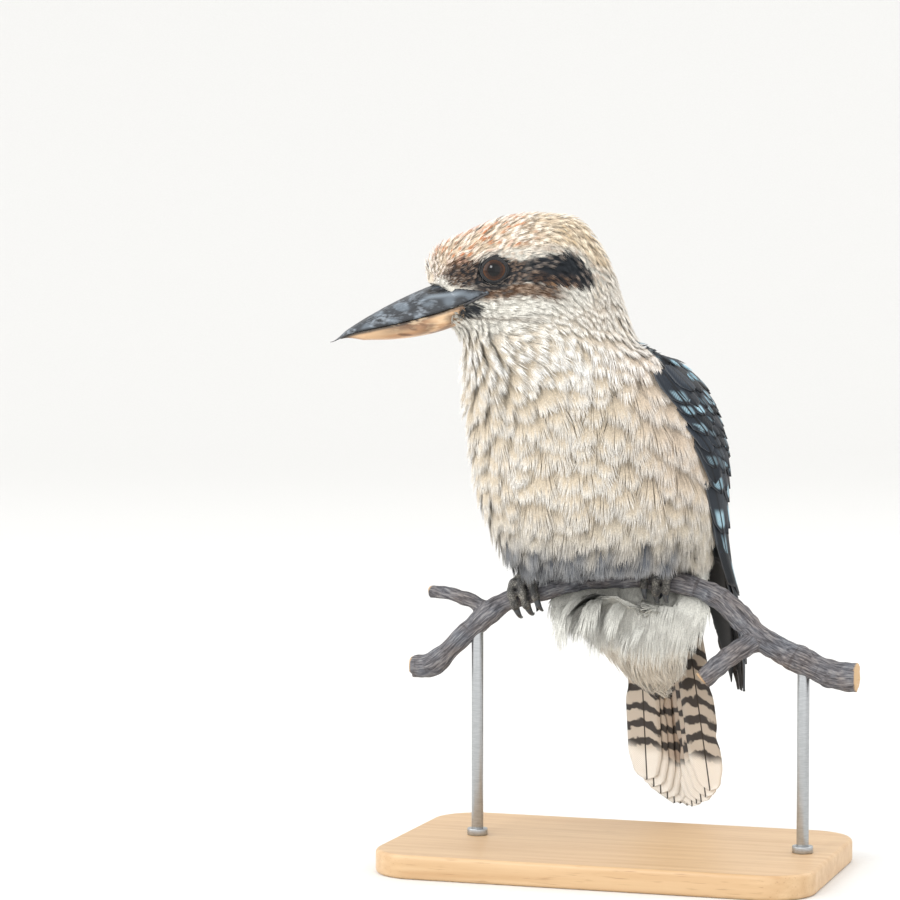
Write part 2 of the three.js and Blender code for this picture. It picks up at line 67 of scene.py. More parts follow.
def linear(colour):
    """A colour written as sRGB hex, such as "e6e0d3", in linear light."""
    parts = [int(colour[k : k + 2], 16) / 255 for k in (0, 2, 4)]
    return tuple(c / 12.92 if c <= 0.04045 else ((c + 0.055) / 1.055) ** 2.4 for c in parts)


# ------------------------------------------------------------------ the bird's own measures

PERCH_TURN = math.radians(20)
HEAD_TURN = math.radians(37)
ALONG_PERCH = np.array([math.cos(PERCH_TURN), math.sin(PERCH_TURN), 0.0])
BASE_MIDDLE = 12.0
_low, _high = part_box("stand_base")
ORIGIN = np.array([(_low.x + _high.x) / 2, (_low.y + _high.y) / 2, 0.0]) / MM - BASE_MIDDLE * ALONG_PERCH

HEAD_CENTRE = np.array([-4.0, -48.5, 295.8])
HEAD_FORWARD = np.array([-math.sin(HEAD_TURN), -math.cos(HEAD_TURN), 0.0])
HEAD_LEFT = np.cross(UP, HEAD_FORWARD)
EYE_RADIUS = 8.2
EYE_HALVES = (5.5, 4.9)
EYE_PLACE = (22.4, 17.3, 2.4)
EYE_GAZE = np.array([0.36, 0.93, 0.06]) / np.linalg.norm([0.36, 0.93, 0.06])

# z, y, half width, reach to the front, reach to the back
SHEATH = np.array([
    (73, 68, 36, 24, 25), (99, 54, 42, 34, 33), (129, 32, 50, 46, 45), (159, 13, 56, 54, 54),
    (181, 5, 59, 61, 58), (210, -1, 61, 63, 60), (235, -10, 58, 61, 57), (251, -18, 52, 57, 52),
    (266, -28, 41, 45, 42), (289, -34, 34, 36, 34),
], float)
# z, leading and trailing edge in degrees round the body from straight ahead, thickness
WING = np.array([
    (81, 130, 141, 3), (107, 122, 155, 5), (135, 116, 166, 7), (161, 111, 172, 7.5),
    (185, 106, 173, 8.5), (209, 98, 170, 9), (229, 90, 165, 9), (245, 87, 157, 8.5),
    (257, 95, 141, 6), (265, 112, 120, 2),
], float)
WING_LIFT = 1.8
# forward, top, cut between the halves, underside, half width: the bill in the head's frame
BILL = np.array([
    (24, 1, -8, -19, 13.6), (36, -1, -13, -23.6, 13.8), (47, -4, -17, -27.2, 12.6),
    (58, -8.2, -20.2, -29.4, 10.6), (70, -13.8, -23.2, -30.6, 8), (81, -19.7, -25.6, -30.8, 5.6),
    (91, -25.6, -28, -31, 3.2), (100, -31.6, -32, -32.2, 0.3),
], float)
LOWER_BILL_END = 95.0
# How full the horn's cross-section is; 1 is an ellipse
HORN_CURVE = 0.85
PERCH = np.array([
    (-90, 97), (-66, 115.5), (-49, 130), (-34, 135.5), (-14, 141.5), (6, 145), (30, 145),
    (50, 142.5), (66, 135.5), (86, 117.5), (104, 108), (128, 100),
], float)
PERCH_RADII = (5.8, 5.1, 7.3)
STUBS = ((-54, (-33, -8, 9), 3.5), (86, (-22, -20, -21), 5.1))
ROD_PLACES = (-61.0, 107.0)
TAIL_ROOT = np.array([1.0, 56.0, 153.0])
TAIL_LENGTH = 142.0
TAIL_HALVES = (20.0, 27.0)
TAIL_LEAN = math.radians(15)
TAIL_SWING = math.radians(4)
FEET = {"right": -34.0, "left": 34.0}
SIDES = {"left": 1, "right": -1}
TOES = (  # name, place beside the foot's middle, degrees round the perch, to the back
    ("inner", -5.6, 118, False), ("middle", 0.4, 140, False),
    ("outer", 5.7, 130, False), ("hind", -0.4, 112, True),
)
TOE_RADIUS = 2.5
# From the branch's surface to a toe's middle line
TOE_LIFT = TOE_RADIUS + 1.25
CLAW_LENGTH = 8.8


def soft(value, low, high):
    """0 below low, 1 above high and a smooth ramp between; low may be the larger."""
    t = np.clip((value - low) / (high - low), 0, 1)
    return t * t * (3 - 2 * t)


def window(value, a, b, c, d):
    """1 between two ramps, from a to b and from d to c, and 0 outside them."""
    return soft(value, a, b) * soft(value, c, d)


def bell(value, middle, width):
    return np.exp(-(((value - middle) / width) ** 2))


def off_poles(share):
    """1 on a loft's rings and 0 at its two poles."""
    return ((share > 1e-4) & (share < 1 - 1e-4)).astype(float)


def smooth_read(table, key, column):
    """A smooth curve through one column of a table (Hermite, level at both ends)."""
    x, y = table[:, 0], table[:, column]
    slope = np.zeros(len(x))
    slope[1:-1] = (y[2:] - y[:-2]) / (x[2:] - x[:-2])
    key = np.clip(key, x[0], x[-1])
    k = np.clip(np.searchsorted(x, key, side="right") - 1, 0, len(x) - 2)
    span = x[k + 1] - x[k]
    t = (key - x[k]) / span
    return ((2 * t**3 - 3 * t**2 + 1) * y[k] + (t**3 - 2 * t**2 + t) * span * slope[k]
            + (3 * t**2 - 2 * t**3) * y[k + 1] + (t**3 - t**2) * span * slope[k + 1])


def unit(v):
    return v / np.maximum(np.linalg.norm(v, axis=-1, keepdims=True), 1e-12)


def drift(p, size, seed=0):
    """Slow, even unevenness between -1 and 1 that wanders over about size millimetres."""
    total = 0.0
    for k in range(4):
        turn = 1.7 * k + 0.9 * seed + 0.4
        way = np.array([math.cos(turn), math.sin(turn * 1.3), math.cos(turn * 2.1 + 1)])
        total = total + np.sin((p @ way) * (2.2 + 0.5 * k) / size + turn * 5)
    return total / 4 * 1.4


def in_head(p):
    """Forward, left and up of each point in the head's frame."""
    local = p - HEAD_CENTRE
    return local @ HEAD_FORWARD, local @ HEAD_LEFT, local[..., 2]


def from_head(forward, side, up):
    forward, side, up = np.broadcast_arrays(*map(np.asarray, (forward, side, up)))
    return (HEAD_CENTRE + forward[..., None] * HEAD_FORWARD + side[..., None] * HEAD_LEFT
            + up[..., None] * UP)


def round_body(p):
    """Degrees round the body from straight ahead, 0 to 180 on either side."""
    y, side, front, back = (smooth_read(SHEATH, p[..., 2], k) for k in (1, 2, 3, 4))
    ahead = y - p[..., 1]
    reach = np.where(ahead > 0, front, back)
    return np.degrees(np.arctan2(np.abs(p[..., 0]) / side, ahead / reach))


def sheath_point(z, degrees, lift):
    """A point over the body at a height, a turn from straight ahead and a lift off the surface."""
    y, side, front, back = (smooth_read(SHEATH, z, k) for k in (1, 2, 3, 4))
    turn = np.radians(degrees)
    reach = np.where(np.cos(turn) > 0, front, back)
    return np.stack([(side + lift) * np.sin(turn), y - (reach + lift) * np.cos(turn), z], -1)


def wing_share(p):
    """Where a point lies across the folded wing: -1 on its leading edge, 1 on its trailing edge."""
    lead, trail = smooth_read(WING, p[..., 2], 1), smooth_read(WING, p[..., 2], 2)
    share = (round_body(p) - (lead + trail) / 2) / ((trail - lead) / 2)
    outside = (p[..., 2] < WING[0, 0]) | (p[..., 2] > WING[-1, 0])
    return np.where(outside, 9.0, share)


def perch_point(along):
    along = np.asarray(along, float)
    held = np.clip(along, PERCH[0, 0], PERCH[-1, 0])
    point = held[..., None] * ALONG_PERCH
    point[..., 2] = smooth_read(PERCH, held, 1)
    return point


def perch_axes(along):
    """Along the branch, ahead of it and up from it."""
    run = unit(perch_point(np.asarray(along) + 1.0) - perch_point(np.asarray(along) - 1.0))
    ahead = unit(np.cross(run, UP))
    return run, ahead, np.cross(ahead, run)


def perch_radius(along):
    along = np.asarray(along, float)
    left, middle, right = PERCH_RADII
    share = np.where(along < 0, along / PERCH[0, 0], along / PERCH[-1, 0])
    end = np.where(along < 0, left, right)
    return middle + (end - middle) * share**2 + 0.35 * np.sin(along / 5) + 0.25 * np.sin(along / 2.3)


def round_perch(along, degrees, reach, back=False):
    _, ahead, above = perch_axes(along)
    turn = np.radians(np.asarray(degrees, float))[..., None]
    reach = np.asarray(reach, float)[..., None]
    return (perch_point(along) + above * reach * np.cos(turn)
            + ahead * (-1 if back else 1) * reach * np.sin(turn))


def eye_middle(side):
    forward, beside, up = EYE_PLACE
    return from_head(forward, side * beside, up)


def eye_axes(side):
    """Out of the eye, forwards along its slit and up, for one side."""
    out = EYE_GAZE[0] * HEAD_FORWARD + side * EYE_GAZE[1] * HEAD_LEFT + EYE_GAZE[2] * UP
    slit = unit(HEAD_FORWARD - out * (HEAD_FORWARD @ out) - 0.12 * UP)
    return out, slit, np.cross(out, slit) * side


# ------------------------------------------------------------------ markings

MARKS = {name: np.array(linear(code)) for name, code in {
    "cream": "f4f3ef", "fawn": "c6b8a2", "warm": "f2eae1", "warm fawn": "cdbaa6", "sky": "a5cfe0",
    "neck": "e4dfd4", "neck under": "d6cfc2", "throat fleck": "b7ac99",
    "belly": "d6cfc3", "belly under": "b9b0a0", "belly dark": "8e9093", "belly black": "5b5f66",
    "vent": "e6e5dd", "vent under": "c6c5bd", "vent streak": "a3a19b",
    "nape": "efe6d8", "nape fleck": "a58a66", "mantle": "504c49", "mantle under": "323234",
    "rump": "7d6e60", "rump under": "53473c", "slate": "20272e",
    "cheek": "e1ded4", "cheek under": "d6d2c7", "cheek shadow line": "9d958a",
    "crown": "f9efe2", "crown front": "f8e6d6", "crown rear": "f8e9cf", "crown under": "d9c4a9",
    "rufous": "b8703f", "gold": "a5834f", "crown dark": "7f6a54",
    "brow": "e3d8c9", "brow fleck": "9b8775", "forehead": "f5efe8",
    "stripe": "23272c", "stripe brown": "5d4534", "stripe fleck": "8b7f75", "under stripe": "85674d", "spot": "24272b",
}.items()}


def paint(colour, over, share):
    """Lays a mark's colour, given by name or in hex, over another by share."""
    over = MARKS[over] if over in MARKS else np.array(linear(over))
    return colour + (over - colour) * share[..., None]


def plain(code, count):
    """One hex colour for each of count points."""
    return np.ones(count)[:, None] * np.array(linear(code))


# The dark stripe behind the eye, in the head's frame: forward, upper edge, lower edge
STRIPE = np.array([
    (-27, -4, -5), (-24, 1, -7.5), (-18, 9.3, -7.4), (-7, 10.2, -6.2), (0, 9.0, -5.0),
    (8.5, 7.8, -3.4), (15, 7.2, -4.0), (22, 9.0, -5.5), (30, 8.2, -4.6), (36, 5.4, -2.0),
    (43, 2.8, 0.2), (47, 1.2, 0.6),
], float)
# Where the streaked crown starts above the brow: forward, up
CROWN_EDGE = np.array([
    (-40, 0), (-28, 4), (-20, 11), (-10, 13.4), (5, 14.2), (16, 14), (24, 12.4), (32, 9.0), (42, 5),
    (54, -6),
], float)


class Marks:
    """Colours at a feather's tip, under it and of its streaks, and how strong the streaks are, for many points."""

    def __init__(self, shape, tip, under, streak, strength):
        ones = np.ones(shape)
        self.layers = {name: ones[..., None] * MARKS[mark]
                       for name, mark in (("tip", tip), ("under", under), ("streak", streak))}
        self.strength = strength * ones

    def add(self, share, strength=None, **layers):
        """Paints layers by share; a layer's mark is a name, or a name and how much of the share it takes."""
        for layer, mark in layers.items():
            name, much = mark if isinstance(mark, tuple) else (mark, 1.0)
            self.layers[layer] = paint(self.layers[layer], name, much * share)
        if strength is not None:
            self.strength = self.strength + (strength - self.strength) * share


def markings(p):
    """The coat's colours at each point: at a feather's tip, under it, of its streaks, and how strong those are."""
    y, z = p[..., 1], p[..., 2]
    round_it = round_body(p)
    marks = Marks(z.shape, "cream", "fawn", "fawn", 0.25)

    marks.add(soft(round_it, 40, 85) * soft(z, 165, 200), tip=("warm", 0.8), under=("warm fawn", 0.7))
    belly = soft(z + 4 * drift(p, 14), 184, 156)
    marks.add(belly, tip=("belly", 0.8), under="belly under", streak="belly dark")
    marks.strength = marks.strength + 0.2 * belly
    hem = soft(z + 5 * drift(p, 7, 3), 166, 146) * soft(y, 16, -4)
    marks.add(hem, tip=("belly dark", 0.85), under="belly black")

    bough = perch_point(np.clip(p @ ALONG_PERCH, -60, 60))[..., 2]
    below = soft(z - bough - 0.25 * y, 2, -4) * np.maximum(soft(round_it, 175, 150), soft(z, 136, 128))
    marks.add(below, 0.5, tip="vent", under="vent under", streak="vent streak")
    rump = soft(round_it, 140, 160) * window(z, 200, 185, 132, 142)
    marks.add(rump, tip="rump", under="rump under")

    neck = soft(z, 248, 272)
    marks.add(neck, 0.2, tip=("neck", 0.75), under=("neck under", 0.45), streak="throat fleck")
    nape = neck * soft(round_it, 95, 130)
    marks.add(nape, 0.6, tip="nape", under="neck under", streak="nape fleck")
    edge = 262 + 3 * drift(p, 12, 5)
    mantle = soft(z, edge + 2, edge - 3) * soft(round_it, 112, 132) * soft(z, 168, 180)
    marks.add(mantle, 0.5, tip="mantle", under="mantle under", streak="mantle under")

    share = wing_share(p)
    on_wing = soft(np.abs(share), 1.0, 0.9)
    marks.add(on_wing, 0.9 * (share < 0.2), tip="slate", under="slate", streak="sky")

    forward, side, up = in_head(p)
    beside = np.abs(side)
    near_head = soft(np.linalg.norm(p - from_head(6, 0, 2), axis=-1), 50, 42)
    head = soft(up + 0.35 * forward, -27, -17) * near_head
    marks.add(head, 0.2, tip="cheek", under="cheek under", streak="cheek under")
    marks.add(head * soft(forward, -18, -28), 0.7, tip="nape", streak="nape fleck")
    # Painted shade: a thin grey line along the lower edge of the cheek.
    line = head * bell(up, -21.5 + 0.02 * forward, 1.1) * window(forward, -4, 6, 44, 34)
    marks.add(line, tip=("cheek shadow line", 0.7), under="cheek shadow line")

    over = up - np.interp(forward, *CROWN_EDGE.T) + 0.8 * drift(p, 5, 2)
    crown = head * soft(over, -2.2, 2.2)
    rear = soft(forward, 12, -14)
    marks.add(crown * (1 - rear), tip="crown front", streak="rufous")
    marks.add(crown * rear, tip="crown rear", streak="gold")
    marks.add(crown * soft(np.abs(forward - 10), 14, 4) * 0.7, tip="crown")
    marks.add(crown, 0.95 - 0.35 * rear, under="crown under")
    marks.add(crown * soft(drift(p, 6, 7), 0.1, 0.6), streak="crown dark")
    pale_front = head * soft(forward, 42, 50) * soft(up, 14, 2)
    marks.add(pale_front, tip="forehead")
    marks.add(0.6 * pale_front, 0)

    top, bottom = (np.interp(forward, STRIPE[:, 0], STRIPE[:, k]) for k in (1, 2))
    marks.add(head * (1 - crown) * soft(up - top, -1, 1), 0.65, tip="brow", streak="brow fleck")
    ragged = 1.1 * drift(p, 2.6, 9)
    band = soft(up - top + ragged, 0.9, -0.9) * soft(up - bottom + ragged, -0.9, 0.9)
    band = head * band * soft(forward, -27, -24) * soft(beside, 6, 9)
    ring = head * soft(eye_nearness(p) + 0.1 * ragged, 1.62, 1.35)
    lores = head * soft(((forward - 37) / 10.0) ** 2 + ((up - 2.0) / 8.0) ** 2 + 0.25 * ragged, 1.2, 0.5)
    lores = lores * soft(beside, 3, 7)
    under_eye = head * soft(((forward - 25.5) / 9.0) ** 2 + ((up + 4.4) / 3.2) ** 2 + 0.2 * ragged, 1.2, 0.5)
    rust = head * soft(up - bottom, 1.0, -0.6) * soft(up - bottom + ragged, -8.5, -4.5)
    marks.add(rust * window(forward, -16, -2, 36, 28), 0.8,
              tip=("under stripe", 0.85), under="stripe brown", streak="stripe")
    marks.add(lores, 1.0, tip=("stripe fleck", 0.8), under="stripe brown", streak="stripe")
    marks.add(0.45 * lores * soft(up, 3, 8), tip="rufous")
    before = band * soft(forward, 2, 10)
    marks.add(before, 0.4, tip=("stripe brown", 0.92), under="stripe", streak="stripe fleck")
    behind = band * soft(forward, 12, 5)
    stripe = np.maximum.reduce([behind, ring, 0.85 * under_eye])
    marks.add(stripe, 0.55, tip="stripe", under="stripe", streak="stripe fleck")
    middle = behind * soft(up - bottom, 9, 2.5) * soft(forward, -22, -10)
    marks.add(middle, 0.9, tip=("stripe brown", 0.6), streak="under stripe")

    oval = ((forward - 33.8) / 6.6) ** 2 + ((up + 17.0 + 0.12 * (forward - 34)) / 4.0) ** 2
    spot = head * soft(oval + 0.45 * drift(p, 1.5, 4) + 0.2 * ragged, 1.45, 0.6) * soft(beside, 6, 9)
    marks.add(spot, tip="spot", under="spot")
    marks.add(0.8 * spot, 0)
    return *marks.layers.values(), marks.strength


# ------------------------------------------------------------------ the lie, length and depth of the coat

BILL_ROOT = from_head(60, 0, -12)


def lie_of_coat(p, normal):
    """Which way the feathers lie: away from the bill over the head, then down the body and back under it."""
    away = p - BILL_ROOT
    reach = np.linalg.norm(away, axis=-1)
    fall = soft(reach, 52, 102)[..., None]
    way = unit(away) * (1 - fall)
    tuck = soft(p[..., 2], 175, 140)[..., None]
    down = -UP + tuck * np.array([0.0, 0.42, 0.0])
    way = way + down * (0.12 + fall)
    flare = soft(round_body(p), 30, 80)[..., None] * soft(p[..., 2], 262, 235)[..., None] * (1 - tuck)
    way = way + flare * np.array([0.0, 0.16, 0.0])
    # The vent's feathers start under the branch and come forwards before they hang.
    shelf = (soft(normal[..., 2], 0.2, 0.55) * soft(p[..., 2], 152, 147))[..., None]
    way = way * (1 - shelf) + shelf * np.array([0.0, -1.0, -0.1])
    way = way - normal * np.sum(way * normal, axis=-1, keepdims=True)
    return unit(way)


def eye_nearness(p):
    """How far a point is from the nearer eye's opening, in opening widths."""
    nearest = np.full(p.shape[:-1], 99.0)
    for side in (1, -1):
        out, slit, up = eye_axes(side)
        d = p - eye_middle(side)
        facing = d @ out > 2
        size = np.hypot((d @ slit) / EYE_HALVES[0], (d @ up) / EYE_HALVES[1])
        nearest = np.where(facing, np.minimum(nearest, size), nearest)
    return nearest


def face_share(p):
    """1 on the fine feathers round the bill and the eyes, 0 on the rest."""
    forward, side, up = in_head(p)
    bill = np.sqrt((forward - 49) ** 2 + (side * 0.6) ** 2 + ((up + 9) * 0.75) ** 2)
    return np.maximum(soft(bill, 22, 9), soft(eye_nearness(p), 2.6, 1.5))


def head_share(p):
    """1 on the head and 0 on the body."""
    _, _, up = in_head(p)
    near = soft(np.linalg.norm(p - from_head(4, 0, 2), axis=-1), 56, 44)
    return near * soft(up, -34, -20)


# The coat on each part: body, belly, under the tail, throat, skull, muzzle. Lengths, widths and
# distances are in millimetres; pale is where along a feather its pale tip starts.
COAT = {
    "length": (20, 23, 30, 15, 7.6, 3.2),
    "width": (16.5, 12, 9, 7.0, 3.6, 1.6),
    "apart": (8.2, 6.4, 6.0, 3.7, 2.45, 1.2),
    "barbs": (88, 56, 42, 40, 14, 6),
    "barb": (0.52, 0.52, 0.56, 0.5, 0.36, 0.3),
    "fluff": (1.65, 1.3, 1.25, 1.3, 1.08, 1.0),
    "ragged": (0.16, 0.3, 0.34, 0.3, 0.3, 0.3),
    "pale": (0.7, 0.6, 0.5, 0.5, 0.4, 0.3),
}


def coat_sizes(p):
    """What COAT says for each place, blended from part to part, and the coat's depth there."""
    z = p[..., 2]
    head, face = head_share(p), face_share(p)
    neck, low, vent = soft(z, 238, 268), soft(z, 165, 140), soft(z, 138, 126)
    sizes = {"depth": coat_depth(p)}
    for name, (body, belly, under, throat, skull, muzzle) in COAT.items():
        trunk = body + (belly - body) * low + (under - body - (belly - body) * low) * vent
        sizes[name] = ((trunk * (1 - neck) + throat * neck) * (1 - head)
                       + (skull + (muzzle - skull) * face) * head)
    forward, _, up = in_head(p)
    brow = soft(forward, 36, 50) * window(up, -4, 3, 18, 9)
    chin = soft(forward, 12, 30) * window(up, -18, -27, -60, -40)
    sizes["fluff"] = sizes["fluff"] + 1.5 * brow + 0.7 * chin
    return sizes


def coat_depth(p):
    """How far the skin lies under the coat's outer face."""
    z = p[..., 2]
    head, face = head_share(p), face_share(p)
    neck, low = soft(z, 238, 268), soft(z, 165, 140)
    body = 4.6 + 0.6 * low
    depth = body * (1 - neck) + 3.4 * neck
    depth = depth * (1 - head) + (2.2 - 1.3 * face) * head
    on_wing = soft(np.abs(wing_share(p)), 1.15, 0.95)
    return depth * (1 - on_wing) + 3.0 * on_wing


# ------------------------------------------------------------------ meshes

def mesh_of(name, points, faces, finishes, smooth=True):
    """A piece from points in millimetres and a list of (face corner array, slot); a piece rides on the body."""
    fans = [points[f[:, [0, k, k + 1]]] for f, _ in faces for k in range(1, f.shape[1] - 1)]
    if sum(np.sum(t[:, 0] * np.cross(t[:, 1], t[:, 2])) for t in fans) < 0:
        faces = [(f[:, ::-1], slot) for f, slot in faces]
    mesh = bpy.data.meshes.new(name)
    mesh.vertices.add(len(points))
    mesh.vertices.foreach_set("co", ((points + ORIGIN) * MM).astype(np.float32).ravel())
    corners = np.concatenate([f.ravel() for f, _ in faces]).astype(np.int32)
    sizes = np.concatenate([np.full(len(f), f.shape[1]) for f, _ in faces])
    slots = np.concatenate([np.full(len(f), slot) for f, slot in faces]).astype(np.int32)
    starts = np.concatenate([[0], np.cumsum(sizes)[:-1]]).astype(np.int32)
    mesh.loops.add(len(corners))
    mesh.loops.foreach_set("vertex_index", corners)
    mesh.polygons.add(len(sizes))
    mesh.polygons.foreach_set("loop_start", starts)
    mesh.polygons.foreach_set("material_index", slots)
    mesh.update(calc_edges=True)
    mesh.polygons.foreach_set("use_smooth", np.full(len(sizes), smooth))
    return piece_from(mesh, finishes)


def piece_from(mesh, finishes):
    """A finished mesh as a piece that rides on the one body."""
    piece = bpy.data.objects.new(mesh.name, mesh)
    bpy.context.scene.collection.objects.link(piece)
    for finish in finishes:
        mesh.materials.append(finish)
    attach(piece, "root")
    return piece


def piece_of(name, bm, finishes, smooth=True):
    """A piece from a bmesh in millimetres."""
    bmesh.ops.translate(bm, verts=bm.verts, vec=Vector(ORIGIN))
    bmesh.ops.scale(bm, verts=bm.verts, vec=(MM, MM, MM))
    mesh = bpy.data.meshes.new(name)
    bm.to_mesh(mesh)
    bm.free()
    mesh.polygons.foreach_set("use_smooth", np.full(len(mesh.polygons), smooth))
    return piece_from(mesh, finishes)


def set_values(mesh, name, values, kind="FLOAT"):
    """A named value for each point: a number, a colour or a vector."""
    field = {"FLOAT": "value", "FLOAT_COLOR": "color", "FLOAT_VECTOR": "vector"}[kind]
    attribute = mesh.attributes.new(name, kind, "POINT")
    values = np.asarray(values, np.float32)
    if kind == "FLOAT_COLOR":
        values = np.concatenate([values, np.ones((len(values), 1), np.float32)], axis=1)
    attribute.data.foreach_set(field, values.ravel())


def read(items, field, size=1, kind=np.float32):
    """One field of a mesh's items, as rows of size values."""
    values = np.empty(len(items) * size, kind)
    items.foreach_get(field, values)
    return values.reshape(-1, size) if size > 1 else values


def set_bake_map(mesh, places):
    """The OFBake map, from one place on it for each point."""
    corners = read(mesh.loops, "vertex_index", kind=np.int32)
    layer = mesh.uv_layers.new(name="OFBake")
    layer.data.foreach_set("uv", places[corners].astype(np.float32).ravel())


def spots_of(mesh):
    """A mesh's points in the bird's millimetres."""
    return read(mesh.vertices, "co", 3).astype(float) / MM - ORIGIN


def loft(bm, around, along, place):
    """A closed skin: a ball's poles and rings moved to place(share from pole to pole, angle round it)."""
    made = bmesh.ops.create_uvsphere(bm, u_segments=around, v_segments=along, radius=1)["verts"]
    at = np.array([v.co for v in made])
    share = np.arccos(np.clip(at[:, 2], -1, 1)) / math.pi
    angle = np.arctan2(at[:, 1], at[:, 0])
    for vert, spot in zip(made, place(share, angle)):
        vert.co = spot
    return made


def tube(bm, around, along, line, radius, reference=ALONG_PERCH):
    """A loft along line(share) with radius(share, angle)."""
    def place(share, angle):
        run = unit(line(np.minimum(1, share + 0.01)) - line(np.maximum(0, share - 0.01)))
        across = unit(np.cross(run, reference))
        over = np.cross(across, run)
        size = (radius(share, angle) * off_poles(share))[:, None]
        return line(share) + size * (across * np.cos(angle)[:, None] + over * np.sin(angle)[:, None])
    return loft(bm, around, along, place)


def close_right_way(bm):
    """Joins doubled points and turns every face outwards."""
    bmesh.ops.remove_doubles(bm, verts=bm.verts, dist=1e-4)
    bmesh.ops.recalc_face_normals(bm, faces=bm.faces)


def smooth(bm, times, verts=None):
    for _ in range(times):
        bmesh.ops.smooth_vert(bm, verts=verts or bm.verts, factor=0.5,
                              use_axis_x=True, use_axis_y=True, use_axis_z=True)


def remeshed(bm, voxel):
    """One closed shell round everything in the bmesh, which is in millimetres."""
    mesh = bpy.data.meshes.new("rough")
    bm.to_mesh(mesh)
    rough = bpy.data.objects.new("rough", mesh)
    bpy.context.scene.collection.objects.link(rough)
    wrap = rough.modifiers.new("wrap", "REMESH")
    wrap.mode, wrap.voxel_size, wrap.adaptivity = "VOXEL", voxel, 0
    shell = bpy.data.meshes.new_from_object(rough.evaluated_get(bpy.context.evaluated_depsgraph_get()))
    bpy.data.objects.remove(rough)
    bpy.data.meshes.remove(mesh)
    result = bmesh.new()
    result.from_mesh(shell)
    bpy.data.meshes.remove(shell)
    return result


# ------------------------------------------------------------------ finishes

def rgba(code):
    return (*linear(code), 1.0)


def node(tree, kind, sockets=None, out=0, **settings):
    """Adds a node and gives one of its outputs; a socket takes a number, a hex colour or an output."""
    made = tree.nodes.new("ShaderNode" + kind)
    for name, value in settings.items():
        setattr(made, name, value)
    for key, value in (sockets or {}).items():
        if isinstance(value, bpy.types.NodeSocket):
            tree.links.new(value, made.inputs[key])
        else:
            made.inputs[key].default_value = rgba(value) if isinstance(value, str) else value
    return made.outputs[out]


# The output that gives a Mix node's colour
MIXED = 2


def new_finish(name):
    finish = bpy.data.materials.new(name)
    finish.use_nodes = True
    return finish, finish.node_tree


def feed(finish, **sockets):
    """Sets a finish's shader sockets to numbers or links them to outputs."""
    tree = finish.node_tree
    for name, value in sockets.items():
        socket = tree.nodes["Principled BSDF"].inputs[name.replace("_", " ")]
        if isinstance(value, bpy.types.NodeSocket):
            tree.links.new(value, socket)
        else:
            socket.default_value = value
    return finish


def set_stops(tone, *stops):
    """A colour ramp's stops: the two that it has, then new ones."""
    ramp = tone.node.color_ramp.elements
    for k, (position, code) in enumerate(stops):
        stop = ramp[k] if k < 2 else ramp.new(position)
        stop.position, stop.color = position, rgba(code)


def finish_grained(name, code, to_code, strength, **values):
    """A finish whose fine grain, 1.1 mm long, runs from one colour to another and raises it a little."""
    finish, tree = new_finish(name)
    place = node(tree, "TexCoord", out="Object")
    grain = node(tree, "TexNoise", {"Vector": place, "Scale": 900.0, "Detail": 3.0})
    tone = node(tree, "Mix", {0: grain, 6: code, 7: to_code}, MIXED, data_type="RGBA")
    bump = node(tree, "Bump", {"Height": grain, "Strength": strength, "Distance": 0.0002})
    return feed(finish, Base_Color=tone, Normal=bump, **values)


def finish_plumage():
    """Soft contour plumage: matt keratin barbs, each a little lighter or darker than its neighbour."""
    finish, tree = new_finish("contour_plumage")
    place = node(tree, "TexCoord", out="Object")
    colour = node(tree, "Attribute", out="Color", attribute_name="Plumage")
    # Barbules are about 0.05 mm apart, too fine to show, so the fleck is drawn at 0.7 mm.
    fleck = node(tree, "TexNoise", {"Vector": place, "Scale": 1400.0, "Detail": 2.0})
    level = node(tree, "MapRange", {0: fleck, 1: 0.3, 2: 0.7, 3: 0.8, 4: 1.14})
    mixed = node(tree, "VectorMath", {0: colour, 1: level}, operation="MULTIPLY")
    bump = node(tree, "Bump", {"Height": fleck, "Strength": 0.3, "Distance": 0.0002})
    return feed(finish, Base_Color=mixed, Normal=bump, Roughness=0.78, Specular_IOR_Level=0.25,
                Sheen_Weight=0.12, Sheen_Roughness=0.5)


def plumage():
    return bpy.data.materials.get("contour_plumage") or finish_plumage()


# ------------------------------------------------------------------ the skin

def add_bmesh(whole, part):
    mesh = bpy.data.meshes.new("part")
    part.to_mesh(mesh)
    part.free()
    whole.from_mesh(mesh)
    bpy.data.meshes.remove(mesh)


def merged_nodes(*names, grow):
    """The named CAD nodes as one bmesh in the bird's millimetres, each grown by a little to close the cuts."""
    whole = bmesh.new()
    for name in names:
        bm = bmesh.new()
        bm.from_mesh(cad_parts[name].data)
        bmesh.ops.remove_doubles(bm, verts=bm.verts, dist=1e-6)
        bmesh.ops.scale(bm, verts=bm.verts, vec=(1 / MM,) * 3)
        bmesh.ops.translate(bm, verts=bm.verts, vec=Vector(-ORIGIN))
        bm.normal_update()
        for vert in bm.verts:
            vert.co += vert.normal * grow
        add_bmesh(whole, bm)
    return whole


def keep_side(bm, point, normal):
    """Cuts a bmesh at a plane, keeps what the normal points to and closes the cut."""
    geometry = bm.verts[:] + bm.edges[:] + bm.faces[:]
    cut = bmesh.ops.bisect_plane(
        bm, geom=geometry, plane_co=Vector(point), plane_no=Vector(normal), clear_inner=True)
    edges = [e for e in cut["geom_cut"] if isinstance(e, bmesh.types.BMEdge)]
    bmesh.ops.holes_fill(bm, edges=edges, sides=0)


